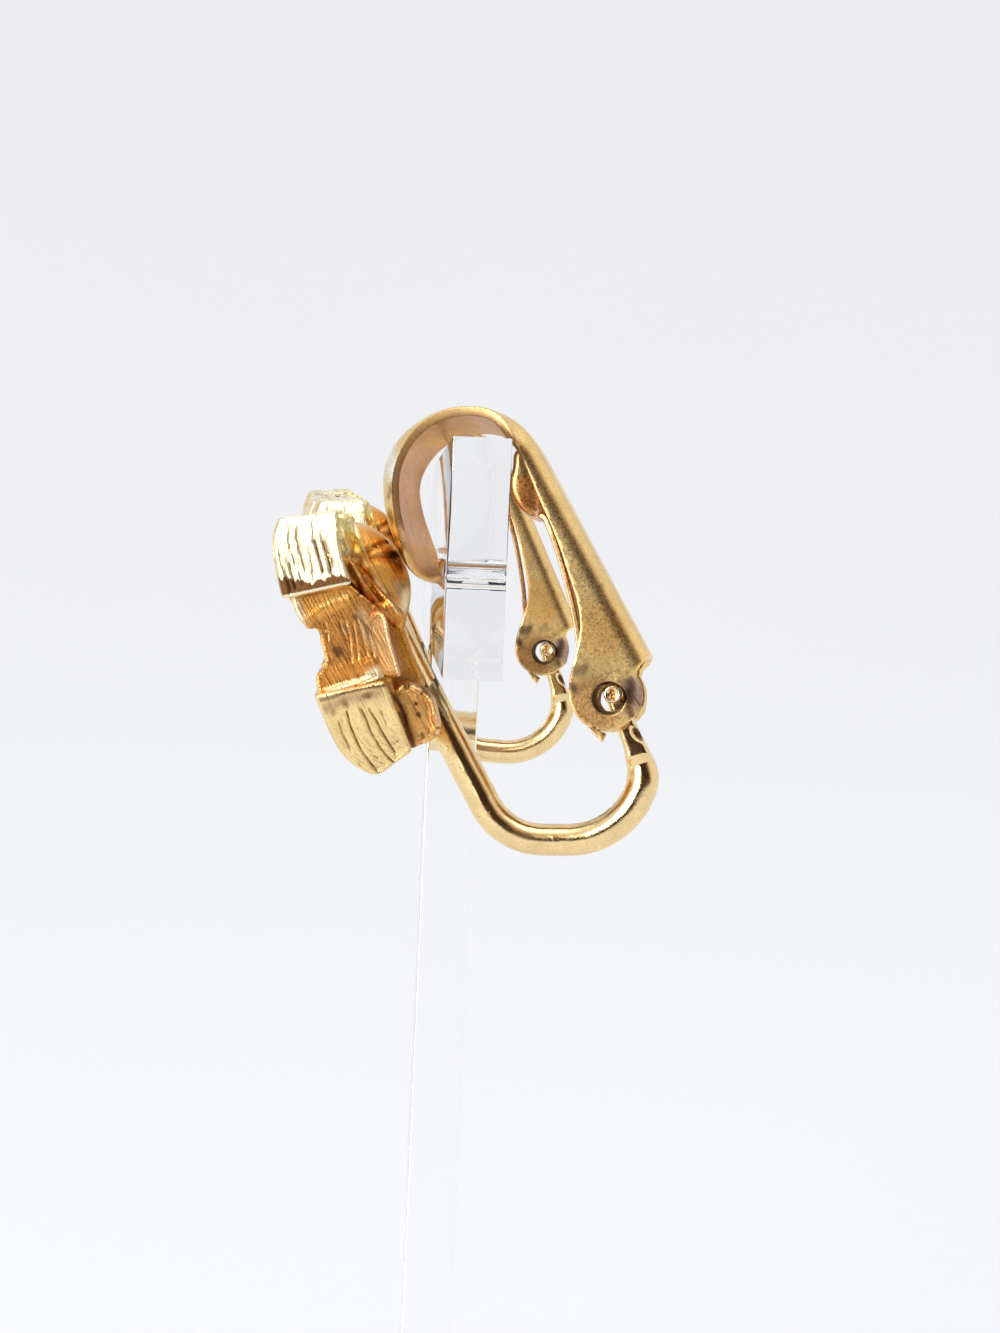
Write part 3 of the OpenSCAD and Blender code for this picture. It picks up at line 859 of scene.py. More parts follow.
def paintLever(mesh):
    p = meshPoints(mesh)
    n = np.array([v.normal[:] for v in mesh.vertices])
    inner = np.zeros(len(p))
    # the loop, the pad before it and the channel below it each have their own inner side
    fromMiddle = p[:, [0, 2]] - np.array(lever["loopMiddle"])
    high = fromMiddle[:, 1] > 0
    inner[high] = smooth(-(n[high][:, [0, 2]] * fromMiddle[high]).sum(axis=1), 0.2, 2.0)
    pad = ~high & (p[:, 0] < lever["padBefore"])
    inner[pad] = smooth(n[pad][:, 0], 0.1, 0.6)
    low = ~high & ~pad
    inner[low] = smooth(-n[low][:, 0], 0.4, 0.8)
    tint = strokes(p, lever["marks"], blobs(p, lever["tintSpots"], lever["tint"]), np.abs(p[:, 1]) > 1.5)
    tint = blend(tint, blobs(p, lever["innerSpots"], lever["innerTint"]), lever["innerShare"] * inner)
    # painted shadow line along the loop's inner rim
    rimShade = lever["rimShadeShare"] * inner * high * smooth(-p[:, 1], *lever["rimShadeFrom"])
    tint = blend(tint, lever["rimShadeTint"], rimShade)
    hole, ear = (np.hypot(p[:, 0] - x, p[:, 2] - z) for x, z in (lever["hole"], lever["earCentre"]))
    # painted shade in a ring round each punched hole
    holeShade = np.where(np.abs(p[:, 1]) > 1.2, 1 - smooth(hole, *lever["holeShadeRing"]), 0)
    cleanRim = np.where(p[:, 2] < 0.7, 1 - smooth(ear, *lever["earRim"]), 1)
    grimeAndShade = patches(p, lever["stainsAndShade"], np.zeros(len(p)))
    storeValues(mesh, "dull", "FLOAT", inner * lever["innerDull"])
    storeValues(mesh, "spot", "FLOAT_VECTOR", p)
    storeValues(mesh, "tint", "FLOAT_COLOR", tint)
    storeValues(mesh, "grimeAndShade", "FLOAT", np.maximum(grimeAndShade * cleanRim, holeShade))


leverMesh = buildLever()
paintLever(leverMesh)
eyeletMesh = buildEyelets()
paintMetal(eyeletMesh, eyelet["tint"], grimeAndShade=eyelet["grimeAndShade"])
print("lever built:", len(leverMesh.polygons), "faces")

# ornament: woven straps cast with a bark surface, on a cast back, in its own frame on the wire
seat = Matrix.Translation((-8.6, 0, 6)) @ turned((10.8, -0.6, 5.3))
weave = {
    "frontTint": (0.97, 0.75, 0.40),
    "wide": 13.0,
    "gap": 0.16,
    "dome": 0.25,
    "rounding": 0.17,
    "endsIn": {"top": 0.0, "middle": 1.1, "bottom": 0.0},
    "key": {"top": 10, "middle": 20, "bottom": 30},
    "seed": {"top": 1.0, "middle": 2.0, "bottom": 3.0},
    "grooveDeep": {"top": 0.14, "middle": 0.1, "bottom": 0.13},
    "fibreDeep": {"top": 0.05, "middle": 0.1, "bottom": 0.05},
    "sideBark": {"top": 0.12, "middle": 0.7, "bottom": 0.12},
    "sideLean": {"top": (0.17, 0.12, 0.5, 6.0), "middle": (0.0, 0.0, 0.0, 0.0), "bottom": (0.16, -0.08, -1.4, 1.6)},
    "ledges": {"top": [], "bottom": [], "middle": [
        ([(-4.5, 1.6), (-4.1, 1.5), (-3.4, 1.42), (-2.6, 1.2), (-2.1, 1.04), (-1.45, 0.78)], 0.17, 0.24),
        ([(-3.3, 2.35), (-2.3, 2.05), (-1.5, 1.75)], 0.3, 0.05),
        ([(-3.5, 5.2), (-2.4, 5.35), (-1.1, 5.1)], 0.22, 0.04)]},
    "middleSides": [(-4.35, 2.65), (-3.62, 2.75), (-3.42, 3.5), (-3.2, 4.5), (-3.22, 4.66), (-3.62, 4.83),
                    (-3.7, 5.2),
                    (-3.72, 5.8), (-3.5, 6.7), (-0.7, 5.85), (0.05, 4), (-0.5, 1.9), (-0.7, 0.9), (-2.5, 1),
                    (-4.7, 1.5)],
    "front": {"top": [(-3.88, 6.7), (-3.65, 7.6), (-3.25, 8.8), (-2.85, 9.6), (-2.15, 10.3)],
              "middle": [(-3.9, 1.6), (-3.35, 2.7), (-3.05, 3.9), (-3.0, 4.6), (-3.4, 5.3), (-3.6, 6.6)],
              "bottom": [(-3.85, -3.25), (-4.35, -2.9), (-4.85, -2.0), (-5.03, -1.1), (-5.0, 0.0), (-4.78, 1.8)]},
    "back": {"top": [(-0.55, 5.76), (-0.3, 7.2), (0.55, 9.3)],
             "middle": [(-0.7, 0.95), (-0.3, 2.6), (0.0, 4.0), (-0.7, 5.85)],
             "bottom": [(-1.88, -2.95), (-1.5, 0.0), (-1.46, 0.82)]},
}


# points round a rounded rectangle of half sizes a and b, close together on its sides
def ringRectangle(a, b, radius, countA, countB):
    radius = min(radius, a * 0.9, b * 0.9)
    ring = []
    corners = [(-a + radius, -b + radius, 180), (a - radius, -b + radius, 270),
               (a - radius, b - radius, 0), (-a + radius, b - radius, 90)]
    for i, (cx, cy, start) in enumerate(corners):
        ring += arc((cx, cy), radius, [start + 15 * k for k in range(7)])
        nx, ny, nextStart = corners[(i + 1) % 4]
        x0, y0 = ring[-1]
        x1, y1 = arc((nx, ny), radius, [nextStart])[0]
        count = (countA, countB)[i % 2]
        ring += [(x0 + (x1 - x0) * k / count, y0 + (y1 - y0) * k / count) for k in range(1, count)]
    return np.array(ring)


# joins rings of points and closes both ends with rings that shrink to the middle
def closedLoft(rings, fibre, caps=10):
    n = len(rings[0])
    points, marks, flags, faces = list(rings), list(fibre), [np.ones(n)] * len(rings), []
    for i in range(len(rings) - 1):
        faces += ringFaces(i * n, (i + 1) * n, n)
    total = n * len(rings)
    for ring, mark, previous, flip in ((rings[0], fibre[0], 0, True), (rings[-1], fibre[-1], total - n, False)):
        middle = ring.mean(axis=0)
        for k in range(1, caps + 1):
            points.append(middle + (ring - middle) * (1 - k / (caps + 1)))
            marks.append(np.column_stack([points[-1][:, 0], points[-1][:, 2], mark[:, 2]]))
            flags.append(np.full(n, 0.5))
            faces += ringFaces(previous, total, n, flip)
            previous, total = total, total + n
        points.append(middle[None, :])
        marks.append(np.array([[middle[0], middle[2], mark[0, 2]]]))
        flags.append(np.array([0.5]))
        faces += fanFaces(previous, total, n, flip)
        total += 1
    return np.vstack(points), faces, {"fibre": np.vstack(marks), "barky": np.concatenate(flags)}


endSteps = (0.0, 0.06, 0.2, 0.42, 0.7)  # where the rings of a rounded end lie, in shares of the rounding
keyJump = 7.3  # sets the bark of one strap apart from the next
strapSwell = 0.12
lineCount = 400


# how far a rounded edge draws in at this distance from the end
def edgeInset(rho, away):
    return rho - math.sqrt(max(0.0, rho * rho - max(0.0, rho - away) ** 2))


# a strap that runs up the ornament: its front and back lines as side views, and its two sides
def uprightStrap(front, back, y0, y1, shift, key, step=0.11, fineStep=0.055):
    length = float(distances(evenly(front, 40))[-1])
    rho, wide = weave["rounding"], y1 - y0
    ends = [round(rho * f / length, 5) for f in endSteps]
    inner = [round(w, 5) for w in np.linspace(0, 1, max(12, int(length / step)))
             if 0.9 * rho / length < w < 1 - 0.9 * rho / length]
    where = sorted(set(inner + ends + [round(1 - rho * f / length, 5) for f in endSteps]))
    f, b = evenly(front, lineCount), evenly(back, lineCount)
    rings, marks = [], []
    countA = max(8, int(float(np.linalg.norm(f[lineCount // 2] - b[lineCount // 2])) / fineStep))
    countB = max(8, int(wide / fineStep))
    for w in where:
        i = int(w * (lineCount - 1))
        (fx, fz), (bx, bz) = f[i], b[i]
        inset = edgeInset(rho, min(w, 1 - w) * length)
        half = math.hypot(bx - fx, bz - fz) / 2
        ring = ringRectangle(half - inset, wide / 2 - inset, rho, countA, countB)
        # the front face swells a little between the strap's sides
        deep = ring[:, 0] + strapSwell * (1 - (ring[:, 1] / (wide / 2)) ** 2) * np.where(ring[:, 0] < 0, -1, 0)
        x = (fx + bx) / 2 + shift + deep * ((bx - fx) / (2 * half))
        z = (fz + bz) / 2 + deep * ((bz - fz) / (2 * half))
        rings.append(np.column_stack([x, (y0 + y1) / 2 + ring[:, 1], z]))
        marks.append(np.column_stack([
            distances(ring), np.full(len(ring), w * length), np.full(len(ring), key * keyJump)]))
    return closedLoft(rings, marks)


# a side view with its corners rounded, as evenly spaced points
def roundedSide(outline, radius, count):
    pts = np.asarray(outline, dtype=float)
    if np.sum(pts[:, 0] * np.roll(pts[:, 1], -1) - np.roll(pts[:, 0], -1) * pts[:, 1]) < 0:
        pts = pts[::-1]
    for _ in range(3):
        nxt = np.roll(pts, -1, axis=0)
        length = np.linalg.norm(nxt - pts, axis=1)[:, None]
        cut = np.minimum(0.25, radius / np.maximum(length, 1e-6))
        pts = np.stack([pts + (nxt - pts) * cut, nxt - (nxt - pts) * cut], axis=1).reshape(-1, 2)
        radius *= 0.5
    closed = np.vstack([pts, pts[:1]])
    length = distances(closed)
    wanted = np.linspace(0, length[-1], count, endpoint=False)
    return np.column_stack([np.interp(wanted, length, closed[:, k]) for k in range(2)]), length[-1]


# a strap or block that runs across the ornament, given by its side view
def crossStrap(outline, y0, y1, shift, key, step=0.1, fineStep=0.09, rho=weave["rounding"], swell=0.0, caps=22):
    count = max(40, int(roundedSide(outline, rho, 40)[1] / fineStep))
    side, perimeter = roundedSide(outline, rho, count)
    tangent = np.roll(side, -1, axis=0) - np.roll(side, 1, axis=0)
    tangent /= np.linalg.norm(tangent, axis=1)[:, None]
    outward = np.column_stack([tangent[:, 1], -tangent[:, 0]])
    width = y1 - y0
    stops = sorted(set([round(v, 4) for v in np.arange(rho, width - rho, step)]
                       + [round(rho * f, 4) for f in endSteps] + [round(width - rho * f, 4) for f in endSteps]))
    rings, marks = [], []
    along = np.arange(count) * perimeter / count
    for v in stops:
        grow = swell * (1 - (2 * v / width - 1) ** 2) - edgeInset(rho, min(v, width - v))
        ring = side + outward * grow
        rings.append(np.column_stack([ring[:, 0] + shift, np.full(count, y1 - v), ring[:, 1]]))
        marks.append(np.column_stack([along, np.full(count, v), np.full(count, key * keyJump)]))
    return closedLoft(rings, marks, caps)


# grooves seen on the near side of the straps: (x, z) lines on the side view and their strength
nearGrooves = {
    "top": [
        ([(-1.91, 9.73), (-2.24, 9.16), (-2.42, 8.59), (-2.5, 8.02), (-2.56, 7.44), (-2.66, 6.86)], 0.55),
        ([(-1.63, 9.49), (-1.83, 9.09), (-1.94, 8.74), (-2.04, 8.29), (-2.17, 7.8), (-2.3, 7.35)], 0.75),
        ([(-1.6, 8.26), (-1.72, 7.81), (-1.87, 7.38), (-2.03, 6.9)], 0.45),
        ([(-0.79, 9.35), (-1.15, 8.62), (-1.24, 8.16)], 0.5),
        ([(-1.15, 8.5), (-1.24, 8.16), (-1.38, 7.58), (-1.55, 6.9)], 1.1),
        ([(-0.63, 8.8), (-0.82, 8.29)], 0.6),
        ([(-0.8, 8.3), (-0.93, 7.79), (-1.05, 7.24), (-1.18, 6.67)], 1.2),
        ([(-0.73, 8.3), (-0.77, 7.81), (-0.83, 7.33)], 0.8),
        ([(-2.95, 8.88), (-3.13, 8.26), (-3.26, 7.56), (-3.43, 6.83)], 0.5),
        ([(-2.79, 8.18), (-2.96, 7.55), (-3.14, 6.84)], 0.9),
        ([(-3.16, 7.97), (-3.28, 7.42), (-3.45, 6.74)], 0.8),
        ([(-0.85, 7.29), (-0.9, 7.06), (-1.05, 6.83)], 0.8),
    ],
    "middle": [
        ([(-2.02, 4.4), (-2.09, 3.93), (-2.14, 3.44), (-2.27, 2.92), (-2.44, 2.34)], 0.9),
        ([(-1.76, 4.19), (-1.9, 3.6), (-2.15, 3.0), (-2.32, 2.5)], 0.8),
        ([(-1.48, 3.97), (-1.74, 3.22), (-2.06, 2.36)], 0.7),
        ([(-2.64, 4.72), (-2.93, 3.86)], 0.6),
        ([(-1.12, 4.3), (-1.3, 3.4), (-1.6, 2.3)], 0.6),
        ([(-0.8, 4.3), (-1.0, 3.3), (-1.3, 2.1)], 0.5),
    ],
    "bottom": [
        ([(-4.41, 0.1), (-4.49, -0.52), (-4.54, -1.16), (-4.51, -1.41)], 0.8),
        ([(-3.79, 0.36), (-3.96, -0.36), (-4.07, -0.97), (-4.07, -1.78), (-4.01, -2.48), (-3.85, -3.2)], 1.0),
        ([(-3.1, 0.28), (-3.12, -0.3), (-3.21, -1.14), (-3.21, -1.81), (-3.12, -2.59), (-2.95, -3.09)], 0.95),
        ([(-2.74, 0.0), (-2.73, -0.52), (-2.73, -1.33), (-2.72, -2.0), (-2.67, -2.65)], 0.95),
        ([(-2.29, -0.39), (-2.3, -0.82), (-2.34, -1.17)], 0.6),
        ([(-4.52, -2.2), (-4.41, -2.82)], 0.6),
        ([(-4.19, 0.16), (-4.12, 0.02)], 0.5),
        ([(-3.65, -2.23), (-3.49, -2.47)], 0.5),
        ([(-2.81, -2.84), (-2.59, -2.9)], 0.5),
        ([(-3.5, -2.76), (-3.22, -3.06)], 0.4),
    ],
}


# how deep each point lies in the listed grooves of the near side
def cutNearGrooves(points, face, grooves, width=0.05):
    cut = np.zeros(len(points))
    on = np.abs(points[:, 1] - face) < 0.4
    p = points[on].copy()
    p[:, 0] += [0.03 * noise.noise(Vector((x * 3.0, z * 1.6, 2.0))) for x, _, z in p]
    uneven = np.array([0.85 + 0.3 * noise.noise(Vector((x * 2.0, z * 1.3, 7.0))) for x, _, z in p])
    for line, strength in grooves:
        cut[on] = np.maximum(cut[on], strength * uneven * nearLine(p, line, width))
    return cut


def buildStrapRow(row):
    pitch = (weave["wide"] + weave["gap"]) / 3
    half = (pitch - weave["gap"]) / 2
    front, back, endsIn = weave["front"][row], weave["back"][row], weave["endsIn"][row]
    parts = []
    for column in (-1, 0, 1):
        shift = 0.0 if column else -weave["dome"]
        y0 = column * pitch - half + (endsIn if column < 0 else 0)
        y1 = column * pitch + half - (endsIn if column > 0 else 0)
        key = weave["key"][row] + column
        if (row == "middle") == (column == 0):
            points, faces, values = uprightStrap(front, back, y0, y1, shift, key)
        elif row == "middle":
            points, faces, values = crossStrap(weave["middleSides"], y0, y1, shift, key, caps=32)
        else:
            points, faces, values = crossStrap(front + back[::-1], y0, y1, shift, key)
        values["cut"] = np.zeros(len(points))
        if column:
            # the outer sides carry their own grooves, and lean back a little towards the front and the top
            outside = y0 if column < 0 else y1
            values["cut"] = cutNearGrooves(points, outside, nearGrooves[row])
            relief(points, weave["ledges"][row], 5.15)
            away = np.abs(points[:, 1] - outside)
            values["barky"] = np.where(away < 0.2, values["barky"] * weave["sideBark"][row], values["barky"])
            perX, perZ, fromX, fromZ = weave["sideLean"][row]
            lean = np.clip(perX * (fromX - points[:, 0]) + perZ * (points[:, 2] - fromZ), 0, None)
            points[:, 1] -= column * (1 - smooth(away, 0.0, 2.6)) * lean
        parts.append((points, faces, values))
    points, faces, values = joined(parts)
    return shapedBy(barkTree, makeMesh(row + "Straps", points, faces, **values), {
        "Groove Depth": weave["grooveDeep"][row], "Groove Spacing": 0.75, "Groove Length": 4.5, "Groove Width": 0.07,
        "Fibre Depth": weave["fibreDeep"][row], "Seed": weave["seed"][row], "Material": castGold})


# colours of the straps: base tint, then spots, lines and stains seen on the near side, with painted light and shade
# among them
strapPaints = {
    "top": {
        # pale tint: painted light on the lit top row
        "tint": (1.0, 0.90, 0.63),
        "spots": [((0.3, 0, 8.0), (1.1, 9.0, 2.4), (1.0, 0.85, 0.38), 0.9)],
        "lines": [([(-0.8, 9.8), (0.4, 9.4)], 0.2, (0.86, 0.74, 0.52), 0.7)],
        "stainsAndShade": [((-0.85, -6.4, 7.15), (0.16, 0.6, 0.3), 0.6)]},
    "middle": {
        # dark tint: painted shade over the set-back middle row
        "tint": (0.66, 0.29, 0.07),
        "spots": [((-0.9, -5.4, 3.0), (0.55, 0.8, 1.9), (0.72, 0.46, 0.22), 0.8),
                  ((-2.0, -5.4, 5.5), (2.2, 1.2, 0.75), (0.90, 0.42, 0.09), 0.9),
                  ((-2.9, -5.4, 1.9), (2.0, 1.4, 0.75), (0.82, 0.34, 0.075), 0.9)],
        # the first two lines are painted highlights along the lower ledge
        "lines": [([(-4.14, 1.58), (-3.44, 1.5), (-2.78, 1.36), (-2.15, 1.17), (-1.42, 0.9)], 0.15,
                   (1.0, 0.93, 0.62), 1.0),
                  ([(-1.99, 1.4), (-1.54, 1.41), (-1.49, 1.16)], 0.18, (1.0, 0.92, 0.6), 1.0),
                  ([(-2.41, 5.5), (-1.75, 5.51), (-1.03, 5.35)], 0.1, (1.0, 0.68, 0.25), 0.8),
                  ([(-3.55, 6.4), (-3.68, 5.4)], 0.3, (1.0, 0.86, 0.55), 0.95)],
        "stainsAndShade": [((-2.87, -5.5, 3.17), (0.5, 0.6, 0.55), 0.75), ((-3.3, -5.5, 2.8), (0.4, 0.6, 0.4), 0.5),
                   ((-1.2, -5.4, 4.2), (0.35, 0.6, 0.3), 0.55), ((-1.6, -5.4, 3.4), (1.2, 0.6, 1.2), 0.2)]},
    "bottom": {
        "tint": (1.0, 0.73, 0.34),
        "spots": [],
        "lines": [([(-4.6, 0.95), (-3.36, 0.85), (-2.68, 0.56), (-2.0, 0.45)], 0.3, (0.55, 0.36, 0.19), 0.85),
                  # the dark line is painted shade in the gap under the middle row
                  ([(-4.8, 1.5), (-4.04, 1.3), (-3.35, 1.2), (-2.46, 0.95), (-1.5, 0.6)], 0.08,
                   (0.12, 0.05, 0.02), 0.95)],
        "stainsAndShade": [((-3.63, -6.3, 0.72), (0.7, 0.6, 0.4), 0.6), ((-2.5, -6.3, 0.55), (0.7, 0.6, 0.3), 0.6),
                   ((-4.4, -6.3, 0.5), (0.4, 0.6, 0.6), 0.5), ((-2.29, -6.2, -2.18), (0.15, 0.5, 0.15), 1.0)]},
}


# rough dark band above the top straps' lower ends, painted shade with grime: a point on its lower edge, slope, soft
# edge, height and depth
strapBand = {
    "from": (-3.85, 6.72),
    "slope": -0.287,
    "edge": (0.12, 0.2),
    "tall": 0.5,
    "extra": 0.45,
    "extraFrom": (2.2, 3.3),
    "soft": 0.2,
    "dark": 0.92,
    "uneven": 0.5,
    "ragged": 0.4,
}


def strapPaint(mesh, row):
    p = meshPoints(mesh)
    paint = strapPaints[row]
    groove = readValues(mesh, "groove")
    grimeAndShade = np.clip(np.where(readValues(mesh, "cut") > 0.05, groove * 0.85, groove * 0.75), 0, 1)
    if row == "top":
        # painted shade with grime in a ragged band above the top row's lower ends
        (x0, z0), (low, high) = strapBand["from"], strapBand["edge"]
        above = p[:, 2] - (z0 + strapBand["slope"] * (p[:, 0] - x0))
        ragged = np.array([noise.noise(Vector((x * 2.2, y * 0.9, z * 1.2)))
                           + 0.6 * noise.noise(Vector((x * 7, y * 3, z * 5))) for x, y, z in p])
        ragged *= strapBand["ragged"]
        tall = strapBand["tall"] + strapBand["extra"] * smooth(-p[:, 0], *strapBand["extraFrom"])
        shown = smooth(above, low, high) * (1 - smooth(above + ragged, tall, tall + strapBand["soft"]))
        shown *= sideways(mesh) * (np.abs(p[:, 1]) > 4)
        grimeAndShade = np.maximum(grimeAndShade, (strapBand["dark"] + strapBand["uneven"] * ragged) * shown)
    paintMetal(mesh, paint["tint"], paint["spots"], paint["stainsAndShade"], grimeAndShade=grimeAndShade, lines=paint["lines"])
    # the unseen front is plain gold
    share = smooth([-v.normal.x for v in mesh.vertices], 0.3, 0.65)
    tint = blend(readValues(mesh, "tint", "FLOAT_COLOR"), weave["frontTint"], share)
    storeValues(mesh, "tint", "FLOAT_COLOR", tint)


strapMeshes = {}
for row in weave["key"]:
    strapMeshes[row] = buildStrapRow(row)
    strapPaint(strapMeshes[row], row)
    strapMeshes[row].transform(seat)
    print(row, "straps built:", len(strapMeshes[row].polygons), "faces")

# leaf spring: flat strip up the channel's mouth, curled over at its upper end, with a bump stamped in it
leaf = {
    "thick": 0.3,
    "wide": 2.6,
    "edge": [(-0.71, 0.95), (-0.67, 1.9), (-0.35, 3.1), (0.13, 4.5), (0.57, 6.2), (0.95, 8.0), (1.12, 9.3),
             (1.13, 9.75)],
    "curlCentre": (1.97, 11.31),
    "curlRadius": 1.64,
    "tint": (0.80, 0.50, 0.24),
    "spots": [((0.6, -1.3, 11.3), (1.2, 2.0, 2.0), (0.85, 0.42, 0.16), 0.8)],
    "bumpWide": 2.68,
    "bumpRadius": 1.81,
    "bumpInside": [(1.42, 10.1), (1.8, 11.0), (2.02, 12.2), (2.07, 13.3), (1.65, 13.58), (1.28, 13.45),
                   (1.05, 13.05)],
    "bumpTint": (0.98, 0.47, 0.16),
    # a painted highlight on the bump's lower rim and painted shade on its top under the web
    "bumpHighlightAndShade": [((1.3, -1.3, 10.0), (0.7, 0.8, 0.45), (1.0, 0.74, 0.55), 0.8),
                  ((1.5, -1.3, 13.1), (1.3, 1.6, 1.3), (0.45, 0.32, 0.14), 0.95)],
    "bumpStains": [((1.5, -1.3, 12.2), (0.4, 0.8, 0.5), 0.5)],
}


def buildLeaf():
    stations = evenly(leaf["edge"] + arc(leaf["curlCentre"], leaf["curlRadius"], np.arange(232, 98, -8)), 120)
    order = np.arange(len(stations))
    wide = leaf["wide"] / 2 * (0.86 + 0.14 * smooth(np.minimum(order, order[::-1]), 0, 5))
    wide = wide * (1 - 0.14 * smooth(order, len(order) * 0.6, len(order) * 0.75))
    return sweptMesh("leaf", stations, np.full(len(order), leaf["thick"] / 2), wide, np.full(len(order), 9.0), {
        "Sides": 56, "Station Spacing": 0.12, "Wobble": 0.02, "Wobble Size": 1.0, "Seed": 8.0, "Material": sheetGold})


def buildBulge():
    outline = arc(leaf["curlCentre"], leaf["bumpRadius"], range(128, 236, 8)) + leaf["bumpInside"]
    half = leaf["bumpWide"] / 2
    points, faces, values = crossStrap(outline, -half, half, 0, 3, step=0.08, fineStep=0.08, rho=0.3, caps=12)
    return makeMesh("bulge", points, faces)


leafMesh = buildLeaf()
paintMetal(leafMesh, leaf["tint"], leaf["spots"])
bulgeMesh = buildBulge()
paintMetal(bulgeMesh, leaf["bumpTint"], leaf["bumpHighlightAndShade"], leaf["bumpStains"])
print("leaf spring built:", len(leafMesh.polygons), "faces")

# lines on the cast back's side view that are both cut and painted
ridges = [
    [(0.69, 8.85), (0.4, 8.38), (0.16, 7.88), (0.07, 7.23)],
    [(0.85, 8.53), (0.85, 8.03), (0.79, 7.6), (0.74, 6.92)],
    [(-0.06, 6.65), (-0.08, 6.04), (-0.1, 5.42)],
    [(0.41, 6.18), (0.44, 5.75), (0.47, 5.27), (0.63, 4.55), (0.71, 3.46)],
    [(-0.29, 6.72), (-0.38, 5.88), (-0.45, 4.88), (-0.54, 4.14)],
    [(0.18, 6.52), (0.13, 5.76), (0.21, 4.94), (0.27, 4.28)],
    [(0.9, 6.73), (1.38, 6.75), (1.94, 6.69)],
    [(0.95, 6.31), (1.56, 5.98), (2.13, 5.68)],
]

